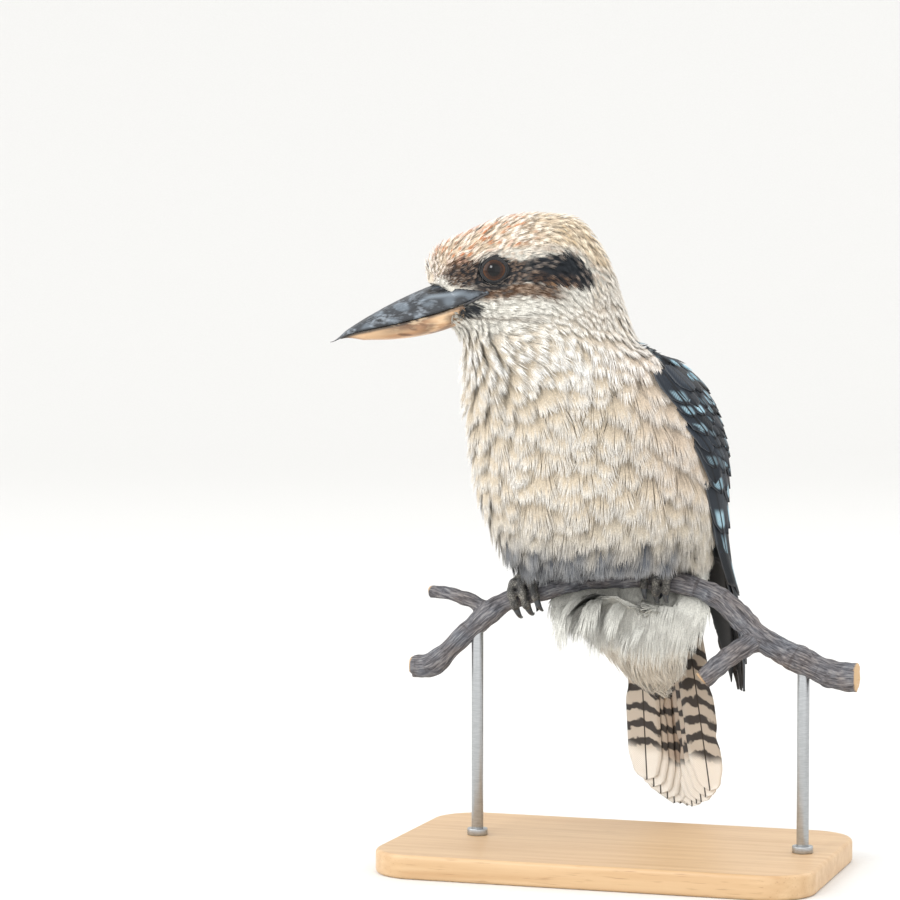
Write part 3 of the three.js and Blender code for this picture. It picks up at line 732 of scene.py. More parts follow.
def flesh_shell(sizes):
    """Head, neck, trunk, undertail and wings as one shell, pulled in by the depth of the coat."""
    grow = 0.45
    whole = merged_nodes("head", "neck", "trunk", "undertail", "wing_left", "wing_right", grow=grow)
    bill = merged_nodes("bill_upper", "bill_lower", grow=0.5)
    keep_side(bill, from_head(sizes.feather_line, 0, -10), -HEAD_FORWARD)
    add_bmesh(whole, bill)
    add_bmesh(whole, merged_nodes("eye_left", "eye_right", grow=0.5))
    tail = merged_nodes("tail", grow=0.4)
    keep_side(tail, TAIL_ROOT + np.array([0, 0, -24]), UP)
    add_bmesh(whole, tail)
    shell = remeshed(whole, sizes.skin_voxel)
    whole.free()
    smooth(shell, 7)
    shell.normal_update()
    tree = BVHTree.FromBMesh(shell)
    depths = coat_depth(np.array([v.co for v in shell.verts])) + grow
    for vert, depth in zip(shell.verts, depths):
        inwards = -vert.normal
        hit, _, _, thick = tree.ray_cast(vert.co + inwards * 0.3, inwards)
        # Where the flesh is thin, the two faces keep apart.
        room = thick * 0.36 if hit is not None else depth
        vert.co = vert.co + inwards * min(float(depth), room)
    smooth(shell, 3)
    return shell


def shape_lids(shell, sizes):
    """Finer mesh round the eyes, drawn into two lids that hug the eyeball, with a fold behind them."""
    hidden = EYE_RADIUS - 1.4  # where the skin passes behind the opening
    for side in (1, -1):
        middle = Vector(eye_middle(side))
        out, slit, up = eye_axes(side)
        for reach in (15.0, 11.0):
            near = [e for e in shell.edges if all((v.co - middle).length < reach for v in e.verts)]
            bmesh.ops.subdivide_edges(shell, edges=near, cuts=1, use_grid_fill=True)
            bmesh.ops.triangulate(shell, faces=[f for f in shell.faces if len(f.verts) > 4])
        near = [v for v in shell.verts if (v.co - middle).length < 16]
        smooth(shell, 3, near)
        for vert in near:
            d = np.array(vert.co - middle)
            length = np.linalg.norm(d)
            way = d / length
            if way @ out < 0.1:
                continue
            x, y = (way @ slit) * EYE_RADIUS, (way @ up) * EYE_RADIUS
            wide, high = sizes.eye_opening / 2, sizes.eye_opening / 2 * (0.93 if y > 0 else 0.9)
            # 1 on the lids' edges, less inside the opening
            at = (abs(x / wide) ** 1.8 + abs(y / high) ** 1.8) ** (1 / 1.8)
            if at < 1.0:
                target = hidden + (EYE_RADIUS + 0.1 - hidden) * soft(at, 0.82, 1.0)
            else:
                rim = EYE_RADIUS + 0.5 * bell(at, 1.1, 0.09) + 0.2
                away = soft(at, 1.12, 1.62)
                target = rim * (1 - away) + max(length, EYE_RADIUS + 0.3) * away - 0.3 * bell(at, 1.34, 0.1)
            vert.co = middle + Vector(way * float(target))


def toe_line(foot, beside, sweep, back):
    """A toe's middle line, from the foot's middle out and round the branch."""
    mirror = SIDES[foot]
    start, end = FEET[foot] + beside * mirror * 0.35, FEET[foot] + beside * mirror

    def line(share):
        along = start + (end - start) * np.minimum(1, share * 2.2)
        return round_perch(along, sweep * share, perch_radius(along) + TOE_LIFT, back)
    return line


def foot_shell(foot, voxel):
    """Toes with their scutes and pads, palm and shank as one shell."""
    bm = bmesh.new()

    def toe_radius(share, angle):
        joints = 0.30 * np.cos(share * math.pi * 7)
        scutes = 0.16 * np.abs(np.sin(share * math.pi * 9.5)) * soft(np.cos(angle), 0.0, 0.8)
        return (TOE_RADIUS + joints + scutes) * (1.04 - 0.22 * share)
    for _, beside, sweep, back in TOES:
        tube(bm, 16, 44, toe_line(foot, beside, sweep, back), toe_radius)
    along = np.float64(FEET[foot])
    middle = round_perch(along, 0.0, perch_radius(along) + TOE_RADIUS + 1.5)
    run, ahead, above = perch_axes(along)
    palm = np.array([run * 5.6, ahead * 5, above * 3])

    def palm_place(share, angle):
        flat = np.sin(share * math.pi)
        return middle + np.stack([flat * np.cos(angle), flat * np.sin(angle), np.cos(share * math.pi)], 1) @ palm
    loft(bm, 16, 10, palm_place)
    knee = middle + np.array([-SIDES[foot] * 5.0, 5.0, 23.0])
    tube(bm, 16, 24, lambda share: middle + (knee - middle) * np.asarray(share)[..., None],
         lambda share, angle: 3.3 + 0.8 * np.abs(share - 0.5) + 0.12 * np.abs(np.sin(share * math.pi * 8)))
    close_right_way(bm)
    shell = remeshed(bm, voxel)
    bm.free()
    smooth(shell, 2)
    return shell


def finish_foot():
    """Scaled skin of the toes: dry, leathery scutes with dark creases and a faint waxy gloss."""
    finish, tree = new_finish("scaled_foot_skin")
    place = node(tree, "TexCoord", out="Object")
    # Scutes are about 1.1 mm across.
    cells = node(tree, "TexVoronoi", {"Vector": place, "Scale": 850.0}, feature="DISTANCE_TO_EDGE")
    crease = node(tree, "MapRange", {0: cells, 1: 0.0, 2: 0.16})
    patch = node(tree, "TexNoise", {"Vector": place, "Scale": 240.0, "Detail": 3.0})
    tone = node(tree, "ValToRGB", {"Fac": patch})
    set_stops(tone, (0.36, "2f3031"), (0.72, "8c8880"))
    creased = node(tree, "Mix", {0: crease, 6: "1f1e1c", 7: tone}, MIXED, data_type="RGBA")
    bump = node(tree, "Bump", {"Height": crease, "Strength": 0.6, "Distance": 0.0003})
    return feed(finish, Base_Color=creased, Normal=bump, Roughness=0.5)


# ------------------------------------------------------------------ feathers: joined copies of one small shape

def barb_shape(bend):
    """One barb: a three-sided point with a ring at the bend, as (share, across, rise) and its faces."""
    bm = bmesh.new()
    bmesh.ops.create_cone(bm, cap_ends=True, segments=3, radius1=1, radius2=0, depth=1)
    bmesh.ops.bisect_plane(bm, geom=bm.verts[:] + bm.edges[:] + bm.faces[:],
                           plane_co=(0, 0, bend - 0.5), plane_no=(0, 0, 1))
    bmesh.ops.remove_doubles(bm, verts=bm.verts, dist=1e-5)
    bmesh.ops.recalc_face_normals(bm, faces=bm.faces)
    at = np.array([v.co for v in bm.verts])
    share = at[:, 2] + 0.5
    at_tip = share > 0.999
    flat = np.where(at_tip[:, None], 0, at[:, :2] / np.maximum(1 - share, 1e-6)[:, None])
    # The first corner is turned to +Y and is the ridge; the other two are the edges.
    corner = next(c for c in flat if abs(c).sum() > 0.5)
    spin = math.pi / 2 - math.atan2(corner[1], corner[0])
    across = (flat[:, 0] * math.cos(spin) - flat[:, 1] * math.sin(spin)) / 0.866
    rise = flat[:, 0] * math.sin(spin) + flat[:, 1] * math.cos(spin)
    rise = np.where(at_tip, 0.3, (rise + 0.5) / 1.5)
    faces = [[v.index for v in f.verts] for f in bm.faces]
    bm.free()
    return share, across, rise, *(np.array([f for f in faces if len(f) == sides]) for sides in (3, 4))


def repeated(faces, count, points):
    """A shape's faces for each of its copies."""
    return (faces[None] + (np.arange(count) * points)[:, None, None]).reshape(-1, faces.shape[1])


class Bed:
    """The skin that feathers stand on: its surface, its smooth normals and where a point comes down on it."""

    def __init__(self, mesh):
        mesh.calc_loop_triangles()
        corners = read(mesh.loop_triangles, "vertices", 3, np.int32)
        self.corners = corners[read(mesh.loop_triangles, "material_index", kind=np.int32) == 0]
        self.spots = spots_of(mesh)
        self.normals = read(mesh.vertices, "normal", 3).astype(float)
        self.tree = BVHTree.FromPolygons(self.spots.tolist(), self.corners.tolist())
        self.flat = unit(self.normals[self.corners].mean(1))

    def scatter(self, count, rng):
        """Even random points over the skin, with their normals."""
        a, b, c = (self.spots[self.corners[:, k]] for k in range(3))
        area = np.linalg.norm(np.cross(b - a, c - a), axis=1)
        pick = rng.choice(len(area), count, p=area / area.sum())
        u, v = rng.random(count), rng.random(count)
        flip = u + v > 1
        u, v = np.where(flip, 1 - u, u), np.where(flip, 1 - v, v)
        weights = np.stack([1 - u - v, u, v], 1)[..., None]
        points = (self.spots[self.corners[pick]] * weights).sum(1)
        return points, unit((self.normals[self.corners[pick]] * weights).sum(1))

    def land(self, points):
        """The nearest places on the skin and the normals there."""
        found = [self.tree.find_nearest(p) for p in points.tolist()]
        return np.array([f[0] for f in found]), self.flat[np.array([f[2] for f in found])]


def spread_out(points, apart):
    """Keeps points that stand no nearer to each other than apart, first come first kept."""
    keys = np.floor(points / float(apart.max())).astype(int).tolist()
    spots, gaps = points.tolist(), apart.tolist()
    kept, grid = [], {}
    for k, (i, j, m) in enumerate(keys):
        beside = itertools.product((i - 1, i, i + 1), (j - 1, j, j + 1), (m - 1, m, m + 1))
        if all(math.dist(spots[k], spots[other]) >= gaps[k] for cell in beside for other in grid.get(cell, ())):
            kept.append(k)
            grid.setdefault((i, j, m), []).append(k)
    return np.array(kept)


# How many of the vent's feathers are rooted along the branch
HANGING = 260


def feather_roots(bed, rng):
    """Where every contour feather is rooted: close together on the face, far apart on the body."""
    roots, normals = [], []
    bands = (  # how many tries, and the span of spacings that they serve
        (90000, 0.0, 2.4), (34000, 2.4, 5.2), (16000, 5.2, 99.0),
    )
    for tries, least, most in bands:
        points, facing = bed.scatter(tries, rng)
        apart = coat_sizes(points)["apart"]
        fits = (apart >= least) & (apart < most) & bare_of(points, facing)
        points, facing, apart = points[fits], facing[fits], apart[fits]
        kept = spread_out(points, apart * 0.82)
        roots.append(points[kept])
        normals.append(facing[kept])
    # The vent's feathers hang from where the branch hides their roots.
    along = rng.uniform(-20, 56, HANGING)
    turn = np.radians(rng.uniform(5, 60, HANGING))[:, None]
    _, ahead, above = perch_axes(along)
    out = (perch_radius(along) + 0.4)[:, None]
    roots.append(perch_point(along) - out * (ahead * np.sin(turn) + above * np.cos(turn)))
    normals.append(unit(ahead + 0.3 * above))
    return np.concatenate(roots), np.concatenate(normals)


def bare_of(points, facing):
    """False where no contour feather grows: on the wings' vanes, in the eyes, under the bill, on the tail's root."""
    forward, _, up = in_head(points)
    eyes = eye_nearness(points) > 1.25
    wing = (np.abs(wing_share(points)) > 0.93) | (points[:, 2] > 247)
    snout = forward < np.interp(up, *FEATHER_EDGE.T) + 0.8 * drift(points, 3, 8)
    tail = ((points[:, 1] > 66) & (points[:, 2] > 128) & (points[:, 2] < 150)
            & (points[:, 2] < 210 - points[:, 1]) & (facing[:, 1] > -0.2))
    return eyes & wing & snout & ~tail


# How far forward the face's feathers grow at each height: up, forward in the head's frame.
# Between the gape and the brow of the bill the horn is bare.
FEATHER_EDGE = np.array([
    (-40, 50), (-26, 50), (-22, 48), (-15.5, 40), (-8.0, 27), (-6.4, 26), (-5.6, 40), (-4.6, 50), (-3, 53),
    (2, 56), (20, 60),
], float)


SPINE_STEPS = 6
FOOT_ROOM = 6.6


def feather_spines(bed, roots, normals, length, sway):
    """Each feather's middle line, its facing and its way, walked over the skin; below the belly it hangs free."""
    step = (length / SPINE_STEPS)[:, None]

    def lie(p, n):
        way = lie_of_coat(p, n)
        return unit(way * np.cos(sway) + np.cross(n, way) * np.sin(sway))
    p, n, d = roots, normals, lie(roots, normals)
    line = [(p, n, d)]
    free = (normals[:, 2] > 0.2) & (roots[:, 2] < 152) & (roots[:, 1] < 40)
    for _ in range(SPINE_STEPS):
        spot, normal = bed.land(p + d * step)
        tucked = (normal[:, 2] < -0.3) | (np.sum(normal * n, 1) < 0.35)
        free |= tucked & (spot[:, 2] > 136) & (spot[:, 2] < 176) & (spot[:, 1] < 42)
        falling = unit(0.8 * d + (0, 0.05, -0.28) - p * (0.003, 0, 0))
        loose = p + falling * step
        along = unit(0.4 * d + 0.6 * lie(spot, normal))
        p = np.where(free[:, None], loose, spot)
        d = np.where(free[:, None], falling, along)
        n = np.where(free[:, None], n, normal)
        n = unit(n - d * np.sum(n * d, 1, keepdims=True))
        line.append((p, n, d))
    return *(np.stack(each, 1) for each in zip(*line)), free


def clear_of_branch(points, room):
    """Points pushed straight out of the branch and of the feet on it."""
    along = np.clip(points @ ALONG_PERCH, PERCH[0, 0], PERCH[-1, 0])
    run, ahead, above = perch_axes(along)
    d = points - perch_point(along)
    d = d - run * np.sum(d * run, 1, keepdims=True)
    reach = np.linalg.norm(d, axis=1)
    foot = np.minimum(np.abs(along - FEET["left"]), np.abs(along - FEET["right"]))
    need = perch_radius(along) + room + FOOT_ROOM * soft(foot, 11, 7)
    short = np.maximum(need - reach, 0) * (reach > 0.5)
    return points + unit(d) * short[:, None]


def clear_of_bill(points, room):
    """Points moved out sideways until they clear the horn of the bill."""
    forward, side, up = in_head(points)
    culmen, cut, keel, half = (smooth_read(BILL, forward, k) for k in (1, 2, 3, 4))
    high = np.where(up > cut, (up - cut) / (culmen - cut), (cut - up) / (cut - keel))
    high = np.clip(high, 0, 1) ** (1 / HORN_CURVE)
    need = half * np.sqrt(np.maximum(1 - high**2, 0)) + room
    inside = (forward > 25) & (forward < 62) & (up < culmen - 0.5) & (up > keel + 0.5) & (np.abs(side) > 4)
    short = np.maximum(need - np.abs(side), 0) * inside
    return points + (np.sign(side) * short)[:, None] * HEAD_LEFT


def lay_feathers(bed, roots, normals, rng):
    """All barbs of the given feathers: their points, which feather each belongs to and where on it each lies."""
    sizes = coat_sizes(roots)
    count = len(roots)
    grow = 1 + 0.1 * rng.standard_normal(count)
    length, width = sizes["length"] * grow, sizes["width"] * grow
    hanging = roots[-HANGING:] @ ALONG_PERCH
    length[-HANGING:] *= (rng.uniform(0.45, 1.75, HANGING)
                          * np.interp(hanging, [-22, 6, 40, 56], [0.4, 1, 1, 0.7]))
    barbs = np.maximum(2, np.round(sizes["barbs"] * (1 + 0.1 * rng.standard_normal(count)))).astype(int)
    sway = np.radians(rng.normal(0, 7, count))[:, None]
    drawn = rng.bit_generator.state
    # A first walk shows how far each free feather would fall; those of the belly end at the branch's top.
    spine, _, _, free = feather_spines(bed, roots, normals, length, sway)
    along = np.clip(spine[:, -1] @ ALONG_PERCH, -60, 60)
    floor = perch_point(along)[:, 2] + perch_radius(along) - 1.0 + rng.normal(0, 1.2, count)
    allowed = (roots[:, 2] - floor) / np.maximum(roots[:, 2] - spine[:, -1, 2], 1.0)
    length = length * np.where(free & (roots[:, 2] > floor), np.clip(allowed, 0.4, 1.0), 1.0)
    rng.bit_generator.state = drawn
    spine, spine_facing, ways, free = feather_spines(bed, roots, normals, length, sway)

    # Barbs in the feather's own plane: x down its length, y across it, from a root over a bend to a tip.
    owner = np.repeat(np.arange(count), barbs)
    order = np.arange(len(owner)) - np.repeat(np.cumsum(barbs) - barbs, barbs)
    total = len(owner)
    a = (order + rng.random(total)) / barbs[owner] * 2 - 1
    short = rng.random(total) ** 1.6
    span, half = length[owner], width[owner] / 2
    reach = (span * (1 - 0.34 * np.abs(a) ** 2.3) * (1 - sizes["ragged"][owner] * short)
             * (1 + 0.03 * rng.standard_normal(total)))
    run = span * (0.52 + 0.2 * rng.random(total) + 0.4 * (owner >= count - HANGING))
    x2, y2 = reach, half * a * (1 - 0.2 * short) + 0.02 * span * rng.standard_normal(total)
    x0, y0 = np.maximum(reach - run, -0.05 * span), y2 * 0.4
    x1, y1 = (x0 + x2) / 2, y2 * 0.76 + 0.01 * span * rng.standard_normal(total)
    depth = sizes["depth"][owner]
    loose = np.abs(rng.standard_normal(total))
    points, facings = [], []
    for x, y, lift in ((x0, y0, -0.1), (x1, y1, 0.04), (x2, y2, 0.06 * loose - 0.06)):
        at = np.clip(x / span, 0, 0.999) * SPINE_STEPS
        k = at.astype(int)
        part = (at - k)[:, None]
        middle, normal, way = (each[owner, k] * (1 - part) + each[owner, k + 1] * part
                               for each in (spine, spine_facing, ways))
        normal, way = unit(normal), unit(way)
        flat = middle + np.minimum(x, 0)[:, None] * way + y[:, None] * np.cross(way, normal)
        spot, facing = bed.land(flat)
        stray = (np.linalg.norm(spot - flat, axis=1) > 0.3 * np.abs(y) + 0.9) | (np.sum(facing * normal, 1) < 0.3)
        keep = (stray | free[owner] & (k > 1))[:, None]
        spot, facing = np.where(keep, flat, spot), np.where(keep, normal, facing)
        height = depth * np.clip(x / span, 0, 1.1) * (1 - 0.12 * np.abs(a)) * sizes["fluff"][owner] + lift * depth
        placed = spot + facing * height[:, None]
        low = spot[:, 2] < 178
        placed[low] = clear_of_branch(placed[low], 0.5 + 0.6 * (height / np.maximum(depth, 0.1))[low])
        points.append(clear_of_bill(placed, 0.25 + 0.25 * (x / span)))
        facings.append(facing)
    barb = sizes["barb"][owner] * (0.8 + 0.4 * rng.random(total))
    return {
        "line": points, "facing": facings, "owner": owner, "a": a, "barb": barb, "pale": sizes["pale"][owner],
        "x": [x / span for x in (x0, x1, x2)], "tone": rng.standard_normal(total),
        "feather_tone": rng.standard_normal(count)[owner],
    }


def between(values, share):
    """The curve through three values at share 0, a half and 1, read at each share."""
    a, b, c = values
    s = share[None, :, None]
    a, b, c = a[:, None], b[:, None], c[:, None]
    return a * (1 - s) * (1 - 2 * s) + b * 4 * s * (1 - s) + c * s * (2 * s - 1)


def barb_mesh(name, laid, shape, pick, unwrap, finish):
    """One coat piece: a copy of the barb shape along each picked line."""
    share, across, rise, threes, fours = shape
    line = [p[pick] for p in laid["line"]]
    facing = [f[pick] for f in laid["facing"]]
    owner, a, tone, feather_tone = (laid[k][pick] for k in ("owner", "a", "tone", "feather_tone"))
    number, each = len(line[0]), len(share)
    spots = between(line, share)
    near = np.clip(share + 0.04, 0, 1)
    run = unit(between(line, near) - between(line, near - 0.08))
    up = unit(between(facing, share))
    side = unit(np.cross(up, run))
    up = np.cross(run, side)
    thick = laid["barb"][pick][:, None, None] * np.interp(share, [0, 0.5, 1], [0.55, 1.0, 0.0])[None, :, None]
    spots = spots + side * thick * across[None, :, None] / 2 + up * 0.3 * thick * rise[None, :, None]

    middle = line[1] * 0.35 + line[2] * 0.65
    tip, under, streak, strength = markings(middle)
    reach = between([x[pick][:, None] for x in laid["x"]], share)[..., 0]
    # The last half of a feather shows; its tip is pale and the part that the next row leaves bare is darker.
    start = laid["pale"][pick][:, None]
    pale = soft(reach + 0.02 * tone[:, None], start, start + 0.16)[..., None]
    # Streaks run down the middle of a feather on the head and the wings, and along single barbs elsewhere.
    streaked = strength * soft(feather_tone, -0.25, 0.15) * soft(np.abs(a) + 0.1 * tone, 0.8, 0.45)
    whole = (head_share(middle) > 0.5) | (np.abs(wing_share(middle)) < 0.95)
    streaked = np.where(whole, streaked, strength * (tone > 0.9) * 0.8)
    tip = tip + (streak - tip) * streaked[:, None]
    colour = under[:, None] + (tip[:, None] - under[:, None]) * pale
    bright = 1 + 0.045 * tone + 0.02 * np.clip(feather_tone, -2, 2)
    colour = np.clip(colour * bright[:, None, None], 0.003, 0.97)

    faces = [(repeated(corners, number, each), 0) for corners in (threes, fours)]
    piece = mesh_of(name, spots.reshape(-1, 3), faces, [finish])
    set_values(piece.data, "Plumage", colour.reshape(-1, 3), "FLOAT_COLOR")
    # Barbs this thin shade as the coat's surface does, each only a little rounded.
    shading = unit(up + side * across[None, :, None] * 0.25 + run * 0.1).reshape(-1, 3)
    piece.data.normals_split_custom_set_from_vertices(shading.astype(np.float32))

    # Each feather is a patch 0.003 across at its root's place on the unwrap.
    patch, root = 0.003, unwrap[owner]
    u = root[:, None, 0] + patch * (a[:, None] * 0.5 + 0.04 * across[None, :])
    v = root[:, None, 1] + patch * (reach - 0.5)
    set_bake_map(piece.data, np.stack([u, v], -1).reshape(-1, 2))
    return piece


def unwrapped(points):
    """The skin's own unwrap, scaled to fill the square: a cylinder round the body, a ball round the head."""
    head = head_share(points) > 0.5
    centre_y = smooth_read(SHEATH, points[:, 2], 1)
    body_turn = np.arctan2(points[:, 0], centre_y - points[:, 1])
    forward, side, up = in_head(points)
    head_turn = np.arctan2(side, forward)
    tilt = np.arctan2(up, np.hypot(side, forward))
    u = np.where(head, head_turn, body_turn)
    v = np.where(head, tilt * 40 + 400, points[:, 2])
    flat = np.stack([u, v], 1)
    low, high = flat.min(0), flat.max(0)
    return 0.01 + 0.98 * (flat - low) / np.maximum(high - low, 1e-6)


def coat_regions(roots):
    """Which coat piece each feather belongs to."""
    _, side, up = in_head(roots)
    head = head_share(roots) > 0.5
    z, turn = roots[:, 2], round_body(roots)
    names = np.full(len(roots), "breast", object)
    for region, there in (("belly", z < 186), ("undertail", z < 134), ("neck", z > 250),
                          ("back", (turn > 120) & (z <= 262)), ("head", head), ("crown", head & (up > 12))):
        names[there] = region
    left = np.where(head, side > 0, roots[:, 0] > 0)
    whole = np.isin(names, ["undertail", "back"])
    return np.where(whole, names, names + np.where(left, "_left", "_right"))


# ------------------------------------------------------------------ vanes: wing and tail feathers

def vane_shape(across, along):
    """A feather's vane as a thin closed sheet: x from -1 to 1 across, share 0 to 1 along, face up or down."""
    bm = bmesh.new()
    bmesh.ops.create_grid(bm, x_segments=across, y_segments=along, size=1)
    bmesh.ops.solidify(bm, geom=bm.faces[:], thickness=0.2)
    bmesh.ops.recalc_face_normals(bm, faces=bm.faces)
    at = np.array([v.co for v in bm.verts])
    faces = np.array([[v.index for v in f.verts] for f in bm.faces])
    bm.free()
    level = at[:, 2] > at[:, 2].mean()
    return at[:, 0], (at[:, 1] + 1) / 2, level.astype(float), faces


def vane_outline(share, round_from):
    """Half width as a share of the full half width; the tip starts to round at round_from."""
    base = np.minimum(1, (share / 0.22 + 0.18)) ** 0.8
    end = np.clip((share - round_from) / (1 - round_from), 0, 1)
    return base * np.sqrt(np.maximum(1 - end**2.1, 0.0))


def vane_mesh(name, feathers, shape, round_from, place, finish):
    """Many vanes as one piece, from a dict of their sizes.

    place(feather index, across mm, along mm, share, height) gives points."""
    x, share, level, faces = (each if each.ndim > 1 else each[None] for each in shape)
    number, each = len(feathers["length"]), x.shape[1]
    index = np.arange(number)
    f = {key: value[:, None] if np.ndim(value) else value for key, value in feathers.items()}
    rng = np.random.default_rng(f["seed"])
    half = f["width"] / 2 * vane_outline(share, round_from)
    # Two places where the barbs have parted, on one side each
    for _ in range(2):
        at = rng.uniform(0.45, 0.95, number)[:, None]
        side = np.sign(rng.uniform(-1, 1, number))[:, None]
        half = half * (1 - 0.16 * bell(share, at, 0.035) * (np.sign(x) == side) * (np.abs(x) > 0.8))
    across = half * (x + f.get("shaft", 0.0) * (1 - np.abs(x)))
    along = f["length"] * (share - 0.02 * np.abs(x) * (share < 0.95))
    height = f["camber"] * (0.5 - x**2) + f["tilt"] * x + f["thick"] * level

    def filled(values):
        return np.broadcast_to(values, along.shape)
    spots = place(index[:, None], across, along, filled(share), height)
    piece = mesh_of(name, spots.reshape(-1, 3), [(repeated(faces, number, each), 0)], [finish])
    for key, values in (("Vane", (across, along, share)), ("Mark", (f["mark"], f["tone"], x))):
        set_values(piece.data, key, np.stack([filled(v) for v in values], -1).reshape(-1, 3), "FLOAT_VECTOR")
    set_values(piece.data, "Brown", filled(f.get("brown", 0.0)).ravel())
    # Bake map: each vane has a square of its own in a grid, upper face left and under face right.
    grid = math.ceil(math.sqrt(number))
    u = ((index % grid)[:, None] + 0.04 + 0.45 * (x * 0.5 + 0.5) + 0.48 * (1 - level)) / grid
    v = ((index // grid)[:, None] + 0.04 + 0.92 * share) / grid
    set_bake_map(piece.data, np.stack([u, v], -1).reshape(-1, 2))
    return piece


def vane_pattern(tree):
    """Barb lines 1 mm apart at a slant off the shaft, the shaft, the vane and mark channels and a slow noise."""
    vane, mark = (node(tree, "SeparateXYZ", {0: node(tree, "Attribute", out="Vector", attribute_name=name)}
                       ).node.outputs for name in ("Vane", "Mark"))
    place = node(tree, "TexCoord", out="Object")
    wander = node(tree, "TexNoise", {"Vector": place, "Scale": 160.0, "Detail": 2.0})
    beside = node(tree, "Math", {0: vane[0]}, operation="ABSOLUTE")
    slant = node(tree, "Math", {0: beside, 1: -1.1, 2: vane[1]}, operation="MULTIPLY_ADD")
    bent = node(tree, "Math", {0: wander, 1: 2.0, 2: slant}, operation="MULTIPLY_ADD")
    turns = node(tree, "Math", {0: bent, 1: 2 * math.pi}, operation="MULTIPLY")
    lines = node(tree, "Math", {0: turns}, operation="SINE")
    shaft = node(tree, "MapRange", {0: beside, 1: 0.25, 2: 0.6, 3: 1.0, 4: 0.0})
    return lines, shaft, vane, mark, wander


def close_vane(finish, colour, shaft, shaft_colour, lines, dimmed, bright, gloss):
    """The dark shaft and the barb lines over a vane's colours, and its dull sheen."""
    tree = finish.node_tree
    dark = node(tree, "Mix", {0: shaft, 6: colour, 7: shaft_colour}, MIXED, data_type="RGBA")
    shade = node(tree, "MapRange", {0: lines, 1: -1.0, 2: 1.0, 3: dimmed, 4: bright})
    final = node(tree, "VectorMath", {0: dark, 1: shade}, operation="MULTIPLY")
    bump = node(tree, "Bump", {"Height": lines, "Strength": 0.35, "Distance": 0.00015})
    return feed(finish, Base_Color=final, Normal=bump, Roughness=0.55, Specular_IOR_Level=gloss)


def finish_wing():
    """Wing vanes: slate-brown keratin with a dull sheen, barbs in fine slanting lines, pale blue on the coverts."""
    finish, tree = new_finish("slate_wing_vane")
    lines, shaft, vane, mark, wander = vane_pattern(tree)
    tone = node(tree, "MapRange", {0: mark[1], 1: 0.0, 2: 1.0})
    slate = node(tree, "Mix", {0: tone, 6: "10151b", 7: "262e38"}, MIXED, data_type="RGBA")
    brown = node(tree, "Mix", {0: tone, 6: "2e2926", 7: "4a423c"}, MIXED, data_type="RGBA")
    back = node(tree, "Attribute", out="Fac", attribute_name="Brown")
    slate = node(tree, "Mix", {0: back, 6: slate, 7: brown}, MIXED, data_type="RGBA")
    # Each vane has a paler, browner fringe about a millimetre wide.
    edge = node(tree, "Math", {0: mark[2]}, operation="ABSOLUTE")
    fringe_side = node(tree, "MapRange", {0: edge, 1: 0.78, 2: 1.0})
    fringe_tip = node(tree, "MapRange", {0: vane[2], 1: 0.93, 2: 1.0})
    fringe = node(tree, "Math", {0: fringe_side, 1: fringe_tip}, operation="MAXIMUM")
    faded = node(tree, "Math", {0: fringe, 1: 0.4}, operation="MULTIPLY")
    base = node(tree, "Mix", {0: faded, 6: slate, 7: "7b7d80"}, MIXED, data_type="RGBA")
    # The blue patch lies on the last third of the vane, to both sides of the dark shaft.
    patch, drop, inner = (
        node(tree, "MapRange", {0: source, 1: start, 2: end, 3: first, 4: 1.0 - first},
             interpolation_type="SMOOTHSTEP")
        for source, start, end, first in (
            (vane[2], 0.55, 0.68, 0.0), (vane[2], 0.84, 0.93, 1.0), (edge, 0.3, 0.62, 1.0)))
    ragged = node(tree, "MapRange", {0: lines, 1: -1.0, 2: 1.0, 3: 0.72, 4: 1.0})
    for factor in (drop, inner, mark[0], ragged):
        patch = node(tree, "Math", {0: patch, 1: factor}, operation="MULTIPLY")
    sky = node(tree, "Mix", {0: wander, 6: "8cc0d8", 7: "d6f2fb"}, MIXED, data_type="RGBA")
    spotted = node(tree, "Mix", {0: patch, 6: base, 7: sky}, MIXED, data_type="RGBA")
    return close_vane(finish, spotted, shaft, "15181c", lines, 0.82, 1.1, 0.3)


def finish_tail():
    """Tail vanes: rufous keratin barred with dark brown and tipped white, barbs in fine slanting lines."""
    finish, tree = new_finish("barred_tail_vane")
    lines, shaft, vane, mark, wander = vane_pattern(tree)
    # Bars stand 10 mm apart and bend with the barbs.
    lean = node(tree, "Math", {0: vane[0]}, operation="ABSOLUTE")
    phase = vane[1]
    for source, times in ((lean, -0.35), (wander, 9.0), (mark[1], 9.0)):
        phase = node(tree, "Math", {0: source, 1: times, 2: phase}, operation="MULTIPLY_ADD")
    turns = node(tree, "Math", {0: phase, 1: 2 * math.pi / 10.0}, operation="MULTIPLY")
    wave = node(tree, "Math", {0: turns}, operation="SINE")
    bars = node(tree, "MapRange", {0: wave, 1: -0.2, 2: 0.55}, interpolation_type="SMOOTHSTEP")
    ground = node(tree, "Mix", {0: mark[0], 6: "967d69", 7: "c6bdb0"}, MIXED, data_type="RGBA")
    barred = node(tree, "Mix", {0: bars, 6: ground, 7: "3a3634"}, MIXED, data_type="RGBA")
    # The last sixth is white.
    tip = node(tree, "MapRange", {0: vane[2], 1: 0.84, 2: 0.9}, interpolation_type="SMOOTHSTEP")
    tipped = node(tree, "Mix", {0: tip, 6: barred, 7: "ece6dc"}, MIXED, data_type="RGBA")
    return close_vane(finish, tipped, shaft, "2d2621", lines, 0.84, 1.08, 0.35)


